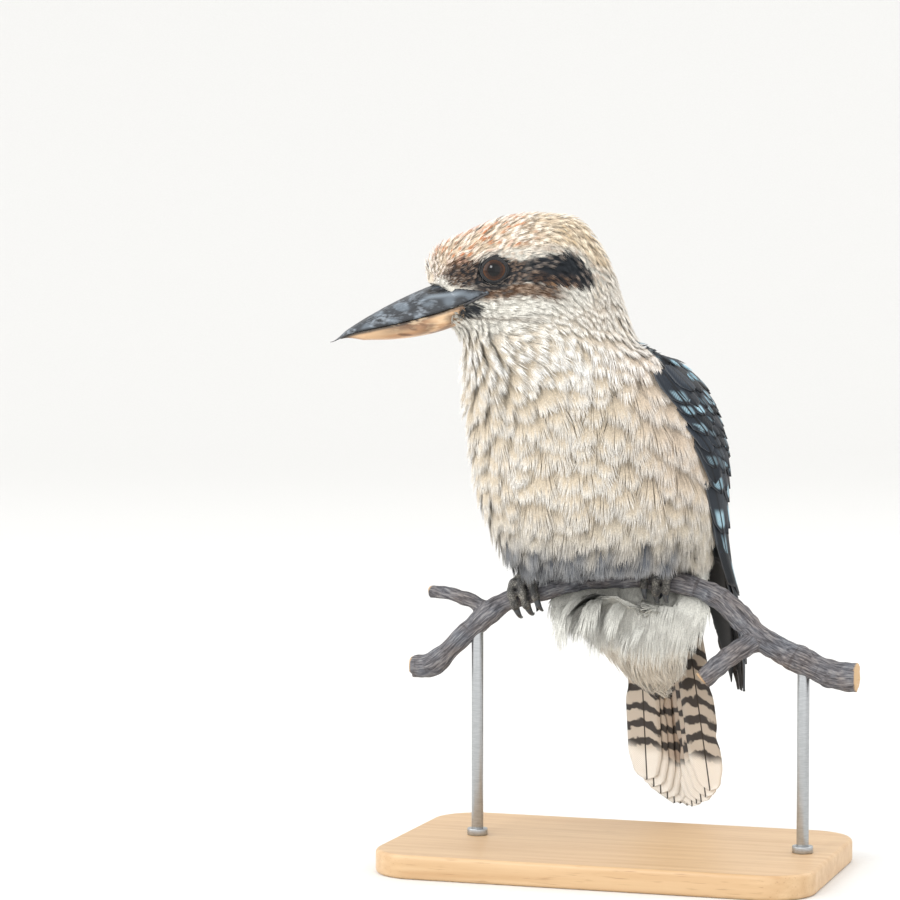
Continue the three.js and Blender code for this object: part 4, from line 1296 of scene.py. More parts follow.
def wing_outside(z, share, height, side):
    """A point on the folded wing's outer face: share -1 to 1 from leading to trailing edge, height over the face."""
    z = np.clip(z, WING[0, 0] + 0.5, WING[-1, 0] - 0.5)
    lead, trail, thick = (smooth_read(WING, z, k) for k in (1, 2, 3))
    # The longest feathers' tips spread a little past the arm they lie on and stand off it.
    degrees = (lead + trail) / 2 + (trail - lead) / 2 * share * (1 + soft(z, 130, 95))
    bulge = thick / 2 * np.maximum(0, 1 - np.minimum(share**2, 1)) ** 0.3
    point = sheath_point(z, degrees, WING_LIFT + bulge + height + 3.5 * soft(z, 150, 105))
    point[..., 0] *= side
    return point


def wing_width(z):
    """How many millimetres the wing is across, from its middle line to an edge."""
    z = np.clip(z, WING[0, 0], WING[-1, 0])
    lead, trail = (smooth_read(WING, z, k) for k in (1, 2))
    side, back = (smooth_read(SHEATH, z, k) for k in (2, 4))
    return np.radians(trail - lead) / 2 * (side + back) / 2


# ------------------------------------------------------------------ settings

class CoatSettings(bpy.types.PropertyGroup):
    skin_voxel: FloatProperty(
        name="Skin mesh", description="Size of the skin's faces in millimetres", default=1.75, min=1.2, max=4)
    feather_line: FloatProperty(
        name="Feather line", default=44.0,
        description="How far forward of the head's middle the skin closes round the bill, in millimetres")
    eye_opening: FloatProperty(
        name="Eye opening", description="Width between the corners of the lids in millimetres", default=11.0)
    seed: IntProperty(name="Seed", description="Start of every random choice in the coat", default=11)


class StageSettings(bpy.types.PropertyGroup):
    azimuth: FloatProperty(
        name="Azimuth", description="Where the camera stands round the bird", default=math.radians(38),
        subtype="ANGLE")
    elevation: FloatProperty(
        name="Elevation", description="How high the camera looks from", default=math.radians(3), subtype="ANGLE")
    distance: FloatProperty(
        name="Distance", description="From the camera to the bird", default=1.6, unit="LENGTH")
    lens: FloatProperty(name="Lens", description="Focal length in millimetres on a 36 mm sensor", default=128.0)
    floor: FloatVectorProperty(
        name="Floor", description="Colour of the floor and backdrop", default=linear("dddcda"), subtype="COLOR")


# ------------------------------------------------------------------ operators

class KOOKABURRA_OT_skin(bpy.types.Operator):
    """One skin under the coat, with the lids and the scaled feet"""
    bl_idname = "kookaburra.skin"
    bl_label = "Skin"

    def execute(self, context):
        sizes = context.scene.coat_settings
        shell = flesh_shell(sizes)
        shape_lids(shell, sizes)
        for face in shell.faces:
            face.material_index = 0
        for foot in FEET:
            part = foot_shell(foot, 0.55)
            for face in part.faces:
                face.material_index = 1
            add_bmesh(shell, part)
        skin = piece_of("skin", shell, [plumage(), finish_foot()])
        spots = spots_of(skin.data)
        tip, under, _, _ = markings(spots)
        lids = eye_nearness(spots)
        colour = paint(under * 0.85 + tip * 0.1, "1b1d20", soft(lids, 1.6, 1.4))
        colour = paint(colour, "4d4a48", 0.5 * bell(lids, 1.09, 0.05))
        set_values(skin.data, "Plumage", colour, "FLOAT_COLOR")
        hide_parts("head", "neck", "trunk", "undertail", "wing_left", "wing_right", "leg_left", "leg_right")
        return {"FINISHED"}


class KOOKABURRA_OT_coat(bpy.types.Operator):
    """Contour feathers over head, neck and body, each a fan of thin barbs along the lie of the coat"""
    bl_idname = "kookaburra.coat"
    bl_label = "Contour feathers"

    def execute(self, context):
        rng = np.random.default_rng(context.scene.coat_settings.seed)
        bed = Bed(bpy.data.objects["skin"].data)
        roots, normals = feather_roots(bed, rng)
        laid = lay_feathers(bed, roots, normals, rng)
        regions = coat_regions(roots)
        barb = barb_shape(0.5)
        for region in sorted(set(regions)):
            mine = regions == region
            unwrap = np.zeros((len(roots), 2))
            unwrap[mine] = unwrapped(roots[mine])
            piece = barb_mesh(f"coat_{region}", laid, barb, np.flatnonzero(mine[laid["owner"]]), unwrap, plumage())
        return {"FINISHED"}


# The folded wing's rows below its small coverts: the roots' height, the first and last share across
# the wing, how many, their length, width and lift in millimetres, and how strong the blue mark is
COVERT_ROWS = [
    (218, -0.98, 0.98, 12, 21, 12.5, 0.7, 1.0), (209, -0.95, 0.98, 12, 22, 13, 0.55, 1.0),
    (199, -0.95, 0.98, 11, 31, 14, 0.3, 1.0), (187, -0.93, 0.95, 10, 36, 14, 0.1, 0.9),
]
FLIGHT_ROWS = [
    (176, -0.9, -0.3, 4, 38, 12, 1.6, 0.8), (172, -0.8, -0.2, 5, 50, 12, 0.9, 0.4),
    (170, -0.2, 0.9, 7, 56, 15, 0.4, 0.15), (150, -0.75, 0.55, 7, 56, 12, 0.4, 0.05),
    (134, -0.65, 0.35, 5, 52, 10.5, 0.0, 0.0),
]


def lay_rows(rows, rng):
    """Each feather of a folded wing from rows like those above, unevenly as in life."""
    laid = []
    for z, first, last, number, length, width, lift, mark in rows:
        step = abs(last - first) / (number - 1)
        shares = np.linspace(first, last, number) + rng.normal(0, 0.14, number) * step
        laid.append({
            "share": shares,
            "z": z + rng.normal(0, 1.5, number),
            "length": length * (1 + 0.07 * rng.standard_normal(number)),
            "width": width * (1 + 0.06 * rng.standard_normal(number)),
            "lift": lift + rng.normal(0, 0.15, number),
            "mark": (mark * np.interp(shares, [-1, -0.55, -0.1, 0.3, 1], [1, 1, 0.7, 0.3, 0.1])
                     * np.clip(rng.uniform(-0.6, 1.5, number), 0, 1)),
            "brown": np.clip(0.5 + 0.9 * shares + rng.normal(0, 0.12, number), 0, 1),
            "turn": rng.normal(0, 0.05, number),
        })
    return {key: np.concatenate([row[key] for row in laid]) for key in laid[0]}


class KOOKABURRA_OT_wings(bpy.types.Operator):
    """Coverts and flight feathers of both folded wings"""
    bl_idname = "kookaburra.wings"
    bl_label = "Wings"

    def execute(self, context):
        finish = finish_wing()
        small = []
        z = 251.0
        while z > 219:
            number = max(3, int(round(2 * float(wing_width(np.float64(z))) / 5.6)))
            small.append((z, -0.98, 0.98, number, 14.5, 9.5, 0.7, 0.9))
            z -= 5.2
        kinds = (("coverts", small + COVERT_ROWS, vane_shape(4, 6), 0.62),
                 ("flight", FLIGHT_ROWS, vane_shape(6, 22), 0.86))
        for name, side in SIDES.items():
            rng = np.random.default_rng(context.scene.coat_settings.seed + 40 + side)
            for label, rows, shape, round_from in kinds:
                f = lay_rows(rows, rng)
                number = len(f["z"])
                f.update(seed=7 + side, camber=np.full(number, 0.7), tilt=rng.normal(0.25, 0.1, number),
                         thick=0.25, tone=rng.random(number))

                def place(index, across, along, share, height, f=f, side=side):
                    turn = f["turn"][index] + 0.07
                    down = along * np.cos(turn) + across * np.sin(turn)
                    over = across * np.cos(turn) + along * np.sin(turn) * 0.6
                    at = f["share"][index] + over / wing_width(f["z"][index])
                    top = f["lift"][index] * share - 2.4 * (1 - share) ** 1.3
                    return wing_outside(f["z"][index] - down, at, height + top, side)
                piece = vane_mesh(f"{label}_{name}", f, shape, round_from, place, finish)
        return {"FINISHED"}


def tail_point(across, along, height):
    """A point of the closed tail: across, down its length and out of its underside."""
    tilt = math.pi / 2 + TAIL_LEAN
    y = -along * math.cos(tilt) - height * math.sin(tilt)
    z = -along * math.sin(tilt) + height * math.cos(tilt)
    x = across * math.cos(TAIL_SWING) + z * math.sin(TAIL_SWING)
    z = -across * math.sin(TAIL_SWING) + z * math.cos(TAIL_SWING)
    return np.stack([x, y, z], -1) + TAIL_ROOT


class KOOKABURRA_OT_tail(bpy.types.Operator):
    """Twelve barred tail feathers, closed into a narrow stack"""
    bl_idname = "kookaburra.tail"
    bl_label = "Tail"

    def execute(self, context):
        rng = np.random.default_rng(context.scene.coat_settings.seed + 90)
        pairs = 6
        order = np.repeat(np.arange(pairs), 2)
        side = np.tile([1.0, -1.0], pairs)
        number = len(order)
        f = {
            "length": TAIL_LENGTH - 1.2 * order**1.5 + rng.normal(0, 0.5, number),
            "width": np.full(number, 21.0), "seed": 5, "camber": np.full(number, 0.5),
            "tilt": -0.25 * side, "thick": 0.35, "tone": rng.random(number),
            "mark": order / (pairs - 1) * 0.9, "shaft": side * 0.25,
        }

        def place(index, across, along, share, height):
            root, end = TAIL_HALVES
            spread = side[index] * (order[index] / (pairs - 1) * (root - 9 + (end - root) * share) + 2.0)
            across = across * (0.62 + 0.38 * np.minimum(1, share * 1.8))
            return tail_point(across + spread, along, -height - 1.9 + 0.72 * order[index])
        piece = vane_mesh("tail_feathers", f, vane_shape(8, 56), 0.88, place, finish_tail())
        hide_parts("tail")
        return {"FINISHED"}


def finish_bill(name, worn_to, roughness):
    """Horn of the bill: dense keratin, polished by use, with scuffs along its length."""
    finish, tree = new_finish(name)
    place = node(tree, "TexCoord", out="Object")
    colour = node(tree, "Attribute", out="Color", attribute_name="Horn")
    # Scuffs run along the bill, 0.4 mm wide and several long.
    turned = node(tree, "Mapping", {"Vector": place, "Rotation": (0, 0, HEAD_TURN)})
    stretched = node(tree, "Mapping", {"Vector": turned, "Scale": (1.0, 0.16, 0.8)})
    fine = node(tree, "TexNoise", {"Vector": stretched, "Scale": 1100.0, "Detail": 4.0})
    broad = node(tree, "TexNoise", {"Vector": place, "Scale": 110.0, "Detail": 3.0})
    both = node(tree, "Math", {0: fine, 1: broad}, operation="MULTIPLY")
    worn = node(tree, "MapRange", {0: both, 1: 0.26, 2: 0.4, 3: 0.0, 4: 0.5})
    pale = node(tree, "Mix", {0: worn, 6: colour, 7: worn_to}, MIXED, data_type="RGBA")
    rough = node(tree, "MapRange", {0: fine, 1: 0.3, 2: 0.7, 3: roughness - 0.08, 4: roughness + 0.14})
    bump = node(tree, "Bump", {"Height": fine, "Strength": 0.35, "Distance": 0.00025})
    return feed(finish, Base_Color=pale, Roughness=rough, Normal=bump, IOR=1.54)


def nostril_height(forward):
    return -6.7 - 0.12 * (forward - 46)


# Up to where the upper horn swells over the face: forward, up
HORN_TOP = np.array([(24, -7.4), (26, -7.1), (41, -5.7), (47, -4.6), (56, -4.0)], float)


def bill_place(upper, bed):
    """The upper or lower bill's surface, as CAD has it but with a keeled top, a nostril slit and a rolled cutting edge.

    Between the gape and the nostril the upper horn swells out over the skin of the face."""
    start, end = BILL[0, 0], BILL[-1, 0] if upper else LOWER_BILL_END

    def place(share, angle):
        past = np.clip((share - 0.02) / 0.98, 0, 1)
        forward = start + (end - start) * (1 - (1 - past) ** 1.15)
        culmen, cut, underside, half = (smooth_read(BILL, forward, k) for k in (1, 2, 3, 4))
        closed, out = off_poles(share), np.cos(angle)
        pinch = 1.0 if upper else np.minimum(1, ((1 - share) * 5) ** 0.6)
        side = half * (1.0 if upper else 0.94 * pinch) * out
        # The cutting edges stand 0.36 mm apart.
        edge = cut + (0.18 if upper else -0.18)
        depth = (culmen if upper else underside) - edge
        outward = np.sin(angle) * (1 if upper else -1)
        rise = np.where(outward > 0, depth * np.maximum(outward, 0) ** HORN_CURVE * pinch, 0)
        if upper:
            rise = rise + 0.3 * np.maximum(0, 1 - np.abs(out) / 0.22) * soft(forward, 96, 80) * closed
            slit = bell(edge + rise, nostril_height(forward), 0.9) * window(forward, 37, 41, 54, 50)
            side = side - np.sign(out) * 1.3 * slit * (np.abs(out) > 0.3)
        side = side + np.sign(out) * 0.18 * bell(np.abs(out), 1.0, 0.05) * soft(forward, 98, 88)
        side, up = side * closed, edge + rise * closed
        if upper:
            top = np.interp(forward, *HORN_TOP.T)
            band = soft(up, top + 0.5, top - 0.4) * window(forward, 24.5, 26.5, 46, 40) * (np.abs(side) > 3)
            for k in np.flatnonzero(band > 0.01):
                beside = np.sign(side[k])
                outside = from_head(forward[k], beside * 34.0, up[k])
                hit = bed.tree.ray_cast(Vector(outside), Vector(-beside * HEAD_LEFT))[0]
                if hit is not None:
                    skin = abs(in_head(np.array(hit))[1]) + 0.55
                    side[k] += beside * band[k] * max(0.0, skin - abs(side[k]))
        return from_head(forward, side, up)
    return place


def upper_horn(p):
    """Slate horn with grey clouds, a pale flap over the nostril's slit and dark ridge, crease and cutting edge; the
    dark of the slit is partly the nostril and partly painted shadow from the forehead feathers just above it.
    """
    forward, _, up = in_head(p)
    culmen, cut = (smooth_read(BILL, forward, k) for k in (1, 2))
    high = (up - cut) / np.maximum(culmen - cut, 0.5)
    above_slit = up - nostril_height(forward)
    crease = bell(high - 0.1 * drift(p, 9, 3), 0.47, 0.06) * window(forward, 44, 54, 88, 72)
    # The nostril's slit is darkened, and this dark is also painted shadow under the forehead feathers, whose edge lies
    # just above it.
    slit = np.exp(-((above_slit / 1.3) ** 4)) * window(forward, 35, 38, 55, 52)
    flap = bell(above_slit, -2.6, 1.1) * window(forward, 36, 42, 58, 51)
    dark = [0.9 * soft(up - cut, 1.8, 0.4), 0.75 * crease, 0.95 * slit, 0.6 * soft(high, 0.9, 0.98)]
    colour = paint(plain("2d3136", len(p)), "727d87", 0.6 * soft(drift(p * (0.6, 0.6, 1.3), 4.5, 4), -0.1, 0.6))
    return paint(paint(colour, "8b969f", 0.7 * flap), "14161a", np.maximum.reduce(dark))


def lower_horn(p):
    """Bone-coloured horn with warm clouds, brown patches and a dark cutting edge: the brown lies in a band just under
    the cut at mid-length, at random, and more towards the base.
    """
    forward, side, up = in_head(p)
    below = up - smooth_read(BILL, forward, 2)
    along = np.stack([forward * 0.35, side, up], 1)
    brown_patches = [0.8 * bell(forward, 66, 11) * soft(below, -6.5, -2.5), 0.75 * soft(drift(along, 3, 8), 0.35, 0.9),
              0.7 * soft(forward, 62, 52) * soft(drift(along, 2.2, 5), -0.6, 0.6)]
    colour = paint(plain("b58c6a", len(p)), "e8c59c", 0.75 * soft(drift(along, 4, 6), -0.5, 0.8))
    colour = paint(colour, "5c4433", np.maximum.reduce(brown_patches))
    return paint(colour, "2a2724", 0.9 * soft(below, -2.0, -0.7) * soft(forward, 100, 92))


# The corner of the mouth, from the bill back: forward, up
GAPE_LINE = np.array([(38.0, -14.4), (33.0, -12.1), (28.0, -9.4), (23.0, -6.9)])


class KOOKABURRA_OT_gape(bpy.types.Operator):
    """Dark rims of bare skin from the bill back to the corners of the mouth"""
    bl_idname = "kookaburra.gape"
    bl_label = "Gape"

    def execute(self, context):
        bed = Bed(bpy.data.objects["skin"].data)
        bm = bmesh.new()
        for side in (1, -1):
            share = np.linspace(0, 1, 12)
            forward, up = (np.interp(share, np.linspace(0, 1, len(GAPE_LINE)), GAPE_LINE[:, k]) for k in (0, 1))
            spots, facing = bed.land(from_head(forward, side * 15.0, up))
            spots = spots + facing * 0.6

            def line(at, spots=spots):
                at = np.clip(np.asarray(at, float), 0, 1) * (len(spots) - 1)
                k = np.minimum(at.astype(int), len(spots) - 2)
                part = (at - k)[..., None]
                return spots[k] * (1 - part) + spots[k + 1] * part
            tube(bm, 12, 36, line, lambda at, angle: 0.75 * np.sin(np.pi * np.clip(at, 0.02, 0.98)) ** 0.4, UP)
        close_right_way(bm)
        # Bare skin at the corner of the mouth: thin, dark and slightly moist.
        piece = piece_of("gape_rims", bm, [finish_grained("gape_skin", "17191c", "474648", 0.3, Roughness=0.45)])
        return {"FINISHED"}


class KOOKABURRA_OT_bill(bpy.types.Operator):
    """Upper and lower bill"""
    bl_idname = "kookaburra.bill"
    bl_label = "Bill"

    def execute(self, context):
        bed = Bed(bpy.data.objects["skin"].data)
        for name, colours, finish, slot in (
                ("upper", upper_horn, finish_bill("dark_bill_horn", "a3adb7", 0.32), "horn_dark"),
                ("lower", lower_horn, finish_bill("pale_bill_horn", "ecd2ae", 0.34), "horn_pale")):
            bm = bmesh.new()
            loft(bm, 88, 110, bill_place(name == "upper", bed))
            close_right_way(bm)
            piece = piece_of(f"bill_horn_{name}", bm, [finish])
            p = spots_of(piece.data)
            colour = paint(colours(p), "2b2c2f", 0.7 * soft(in_head(p)[0], 86, 97))
            set_values(piece.data, "Horn", colour, "FLOAT_COLOR")
            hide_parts(f"bill_{name}")
        return {"FINISHED"}


def finish_eye():
    """Wet eye: brown iris round a black pupil under a clear, smooth cornea."""
    finish, tree = new_finish("wet_eye")
    place = node(tree, "TexCoord", out="Object")
    colour = node(tree, "Attribute", out="Color", attribute_name="Iris")
    streaks = node(tree, "TexNoise", {"Vector": place, "Scale": 1600.0, "Detail": 3.0})
    level = node(tree, "MapRange", {0: streaks, 1: 0.3, 2: 0.7, 3: 0.75, 4: 1.25})
    mixed = node(tree, "VectorMath", {0: colour, 1: level}, operation="MULTIPLY")
    return feed(finish, Base_Color=mixed, Roughness=0.05, IOR=1.376, Specular_IOR_Level=0.5)


class KOOKABURRA_OT_eyes(bpy.types.Operator):
    """Eyeballs with iris and pupil"""
    bl_idname = "kookaburra.eyes"
    bl_label = "Eyes"

    def execute(self, context):
        finish = finish_eye()
        for name, side in SIDES.items():
            out, _, _ = eye_axes(side)
            bm = bmesh.new()
            bmesh.ops.create_uvsphere(bm, u_segments=64, v_segments=48, radius=EYE_RADIUS)
            bmesh.ops.rotate(bm, verts=bm.verts, cent=(0, 0, 0),
                             matrix=Vector(UP).rotation_difference(Vector(out)).to_matrix())
            bmesh.ops.translate(bm, verts=bm.verts, vec=Vector(eye_middle(side)))
            piece = piece_of(f"eyeball_{name}", bm, [finish])
            d = spots_of(piece.data) - eye_middle(side)
            # Degrees off the eye's axis: the pupil ends at 22, a brighter ring lies about 40, the iris ends at 43.
            off = np.degrees(np.arccos(np.clip(d @ out / EYE_RADIUS, -1, 1)))
            colour = paint(plain("2c180c", len(d)), "4d2d16", window(off, 30, 38, 48, 42))
            colour = paint(paint(colour, "030405", soft(off, 24, 21)), "0a0b0c", soft(off, 42, 45))
            set_values(piece.data, "Iris", colour, "FLOAT_COLOR")
            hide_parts(f"eye_{name}")
        return {"FINISHED"}


class KOOKABURRA_OT_claws(bpy.types.Operator):
    """Curved claws on all eight toes"""
    bl_idname = "kookaburra.claws"
    bl_label = "Claws"

    def execute(self, context):
        # Claw horn: dark, smooth keratin with fine lines along it.
        finish = finish_grained("claw_horn", "14161a", "4d5257", 0.2, Roughness=0.32, IOR=1.54)
        for foot, mirror in SIDES.items():
            bm = bmesh.new()
            for _, beside, sweep, back in TOES:
                along = FEET[foot] + beside * mirror
                reach = float(perch_radius(along)) + TOE_LIFT
                step = math.degrees(CLAW_LENGTH / reach)

                def line(share, along=along, reach=reach, step=step, sweep=sweep, back=back):
                    share = np.asarray(share, float)
                    arch = 1.6 * np.sin(share * 2.4)
                    return round_perch(np.full(share.shape, float(along)), sweep - 7 + step * share, reach + arch, back)
                tube(bm, 14, 22, line, lambda share, angle: 1.75 * np.maximum(1 - share, 0) ** 0.7 + 0.05)
            close_right_way(bm)
            piece = piece_of(f"claws_{foot}", bm, [finish])
            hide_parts(*(f"claw_{foot}_{toe[0]}" for toe in TOES))
        return {"FINISHED"}


def finish_bark():
    """Bark of a thin branch: dry and grey, finely lined lengthways, with pale, weathered high spots."""
    finish, tree = new_finish("dry_bark")
    # The attribute holds millimetres: along the branch, then the two ways across it.
    grain = node(tree, "Attribute", out="Vector", attribute_name="Bark")
    drawn = node(tree, "Mapping", {"Vector": grain, "Scale": (0.14, 1.0, 1.0)})
    lines = node(tree, "TexNoise", {"Vector": drawn, "Scale": 1.1, "Detail": 5.0, "Roughness": 0.6})
    broad = node(tree, "TexNoise", {"Vector": grain, "Scale": 0.09, "Detail": 4.0})
    rings = node(tree, "Mapping", {"Vector": grain, "Scale": (1.0, 0.12, 0.12)})
    scars = node(tree, "TexNoise", {"Vector": rings, "Scale": 0.35, "Detail": 2.0})
    tone = node(tree, "ValToRGB", {"Fac": lines})
    set_stops(tone, (0.3, "3b3a3c"), (0.72, "b4b2b0"), (0.5, "77767a"))
    cool = node(tree, "MapRange", {0: broad, 1: 0.35, 2: 0.65})
    tint = node(tree, "Mix", {0: cool, 6: "d3c8c1", 7: "c3cad2"}, MIXED, data_type="RGBA")
    tinted = node(tree, "Mix", {0: 0.8, 6: tone, 7: tint}, MIXED, data_type="RGBA", blend_type="MULTIPLY")
    scar = node(tree, "MapRange", {0: scars, 1: 0.62, 2: 0.7, 3: 0.0, 4: 0.45})
    scarred = node(tree, "Mix", {0: scar, 6: tinted, 7: "3b3433"}, MIXED, data_type="RGBA")
    cut = node(tree, "Attribute", out="Fac", attribute_name="Cut")
    wood = node(tree, "Mix", {0: cut, 6: scarred, 7: "c9a982"}, MIXED, data_type="RGBA")
    bump = node(tree, "Bump", {"Height": lines, "Strength": 0.7, "Distance": 0.0006})
    return feed(finish, Base_Color=wood, Normal=bump, Roughness=0.8, Specular_IOR_Level=0.3)


def stub_axes(place, towards):
    """A side branch's root, its way out and its full run."""
    run = np.array(towards, float)
    return perch_point(np.float64(place)), unit(run), run


class KOOKABURRA_OT_branch(bpy.types.Operator):
    """The cut branch with its two stubs"""
    bl_idname = "kookaburra.branch"
    bl_label = "Branch"

    def execute(self, context):
        bm = bmesh.new()
        ends = PERCH[0, 0], PERCH[-1, 0]
        over = 6.0  # the branch goes on past the last points of its table

        def stem(share, angle):
            along = ends[0] - over + (ends[1] - ends[0] + 2 * over) * np.clip((share - 0.012) / 0.976, 0, 1)
            held = np.clip(along, *ends)
            run, ahead, above = perch_axes(held)
            size = (perch_radius(held) * off_poles(share))[:, None]
            return (perch_point(held) + run * (along - held)[:, None]
                    + ahead * size * np.sin(angle)[:, None] + above * size * np.cos(angle)[:, None])
        loft(bm, 32, 110, stem)
        for place, towards, radius in STUBS:
            root, _, run = stub_axes(place, towards)

            def line(share, root=root, run=run):
                share = np.clip((np.asarray(share, float)[..., None] - 0.03) / 0.94, 0, 1)
                return root + run * share + UP * 2.5 * np.sin(share * math.pi)
            tube(bm, 24, 30, line, lambda share, angle, radius=radius: radius * (1.12 - 0.2 * share), UP)
        close_right_way(bm)
        shell = remeshed(bm, 0.9)
        bm.free()
        smooth(shell, 2)
        shell.normal_update()
        p, n = (np.array([getattr(v, field) for v in shell.verts]) for field in ("co", "normal"))
        rough = 0.28 * drift(p * np.array([0.35, 1, 1]), 2.2, 1) + 0.2 * drift(p, 5, 2)
        # The bark is level where the toes lie on it.
        from_foot = np.minimum.reduce([np.abs(p @ ALONG_PERCH - middle) for middle in FEET.values()])
        for vert, spot in zip(shell.verts, p + n * (rough * soft(from_foot, 8, 16))[:, None]):
            vert.co = spot
        piece = piece_of("branch", shell, [finish_bark()])

        p = spots_of(piece.data)
        cut = np.maximum(soft(p @ ALONG_PERCH, ends[0] - over + 0.8, ends[0] - over + 0.2),
                         soft(p @ ALONG_PERCH, ends[1] + over - 1.0, ends[1] + over - 0.4))
        along = np.clip(p @ ALONG_PERCH, *ends)
        run, ahead, above = perch_axes(along)
        d = p - perch_point(along)
        grain = np.stack([along + np.sum(d * run, 1), np.sum(d * ahead, 1), np.sum(d * above, 1)], 1)
        away = np.linalg.norm(grain[:, 1:], axis=1) - perch_radius(along)
        for place, towards, radius in STUBS:
            root, way, run = stub_axes(place, towards)
            near = soft(np.linalg.norm(p - root - run, axis=1), radius * 1.6, radius * 1.4)
            cut = np.maximum(cut, near * soft((p - root - run) @ way, -0.7, -0.3))
            d = p - root
            across = unit(np.cross(way, UP))
            stub = np.stack([d @ way + 500, d @ across, d @ np.cross(across, way)], 1)
            mine = (away > 0.8) & (d @ way > 0) & (d @ way < 60)
            grain = np.where(mine[:, None], stub, grain)
        set_values(piece.data, "Cut", cut)
        set_values(piece.data, "Bark", grain, "FLOAT_VECTOR")
        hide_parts("perch")
        return {"FINISHED"}


def finish_base_wood():
    """Planed beech, oiled: pale, even wood with fine long grain and short dark flecks."""
    finish, tree = new_finish("oiled_beech")
    place = node(tree, "TexCoord", out="Object")
    turned = node(tree, "Mapping", {"Vector": place, "Rotation": (0, 0, -PERCH_TURN)})
    long = node(tree, "Mapping", {"Vector": turned, "Scale": (0.05, 1.0, 1.0)})
    grain = node(tree, "TexNoise", {"Vector": long, "Scale": 220.0, "Detail": 5.0})
    fleck = node(tree, "TexNoise", {"Vector": long, "Scale": 1500.0, "Detail": 2.0})
    tone = node(tree, "Mix", {0: grain, 6: "b58d62", 7: "dcbf97"}, MIXED, data_type="RGBA")
    dark = node(tree, "MapRange", {0: fleck, 1: 0.62, 2: 0.75, 3: 0.0, 4: 0.5})
    flecked = node(tree, "Mix", {0: dark, 6: tone, 7: "8a623c"}, MIXED, data_type="RGBA")
    bump = node(tree, "Bump", {"Height": grain, "Strength": 0.15, "Distance": 0.0003})
    return feed(finish, Base_Color=flecked, Normal=bump, Roughness=0.42, IOR=1.48)


def finish_steel():
    """Brushed stainless steel rod: fine rings left by the brush."""
    finish, tree = new_finish("brushed_steel_rod")
    place = node(tree, "TexCoord", out="Object")
    rings = node(tree, "Mapping", {"Vector": place, "Scale": (0.1, 0.1, 1.0)})
    # Brush marks are near 0.05 mm, drawn at 0.3 mm to show.
    brush = node(tree, "TexNoise", {"Vector": rings, "Scale": 3000.0, "Detail": 3.0})
    rough = node(tree, "MapRange", {0: brush, 3: 0.24, 4: 0.42})
    tone = node(tree, "Mix", {0: brush, 6: "8f9294", 7: "c3c5c6"}, MIXED, data_type="RGBA")
    bump = node(tree, "Bump", {"Height": brush, "Strength": 0.12, "Distance": 0.0001})
    return feed(finish, Base_Color=tone, Roughness=rough, Normal=bump, Metallic=1.0)


def bevel(bm, edges, offset, segments):
    bmesh.ops.bevel(bm, geom=edges, offset=offset, segments=segments, profile=0.5, affect="EDGES", material=-1)


def level_edges(bm):
    return [e for e in bm.edges if abs(e.verts[0].co.z - e.verts[1].co.z) < 1e-3]


def crisp_piece(name, bm, finish):
    """A piece whose bevels shade smooth and whose flat faces stay flat."""
    piece = piece_of(name, bm, [finish])
    piece.data.polygons.foreach_set("use_smooth", np.array([len(p.vertices) == 4 for p in piece.data.polygons]))
    return piece


class KOOKABURRA_OT_stand(bpy.types.Operator):
    """Flat wooden base and two steel rods"""
    bl_idname = "kookaburra.stand"
    bl_label = "Stand"

    def execute(self, context):
        length, depth, thick, corner = 222.0, 136.0, 12.0, 24.0
        bm = bmesh.new()
        bmesh.ops.create_cube(bm, size=1)
        bmesh.ops.scale(bm, verts=bm.verts, vec=(length, depth, thick))
        level = level_edges(bm)
        bevel(bm, [e for e in bm.edges if e not in level], corner, 14)
        bevel(bm, [e for e in level_edges(bm) if any(len(f.verts) > 4 for f in e.link_faces)], 2.0, 4)
        bmesh.ops.rotate(bm, verts=bm.verts, cent=(0, 0, 0), matrix=Matrix.Rotation(PERCH_TURN, 3, "Z"))
        bmesh.ops.translate(bm, verts=bm.verts, vec=Vector(BASE_MIDDLE * ALONG_PERCH + UP * thick / 2))
        base = crisp_piece("stand_board", bm, finish_base_wood())
        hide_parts("stand_base")
        steel = finish_steel()
        for number, along in enumerate(ROD_PLACES, 1):
            top = perch_point(np.float64(along))
            bm = bmesh.new()
            # A rod from inside the base to inside the branch, and a collar on the base: radius, bottom, top
            for radius, low, high in ((3.0, thick / 2, top[2] - 2.0), (5.2, thick, thick + 3.5)):
                made = bmesh.ops.create_cone(
                    bm, cap_ends=True, segments=48, radius1=radius, radius2=radius, depth=high - low)["verts"]
                bmesh.ops.translate(bm, verts=made, vec=(0, 0, (low + high) / 2))
            bevel(bm, level_edges(bm), 0.5, 3)
            bmesh.ops.translate(bm, verts=bm.verts, vec=Vector(top * (1, 1, 0)))
            rod = crisp_piece(f"stand_upright_{number}", bm, steel)
            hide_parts(f"stand_rod_{number}")
        return {"FINISHED"}


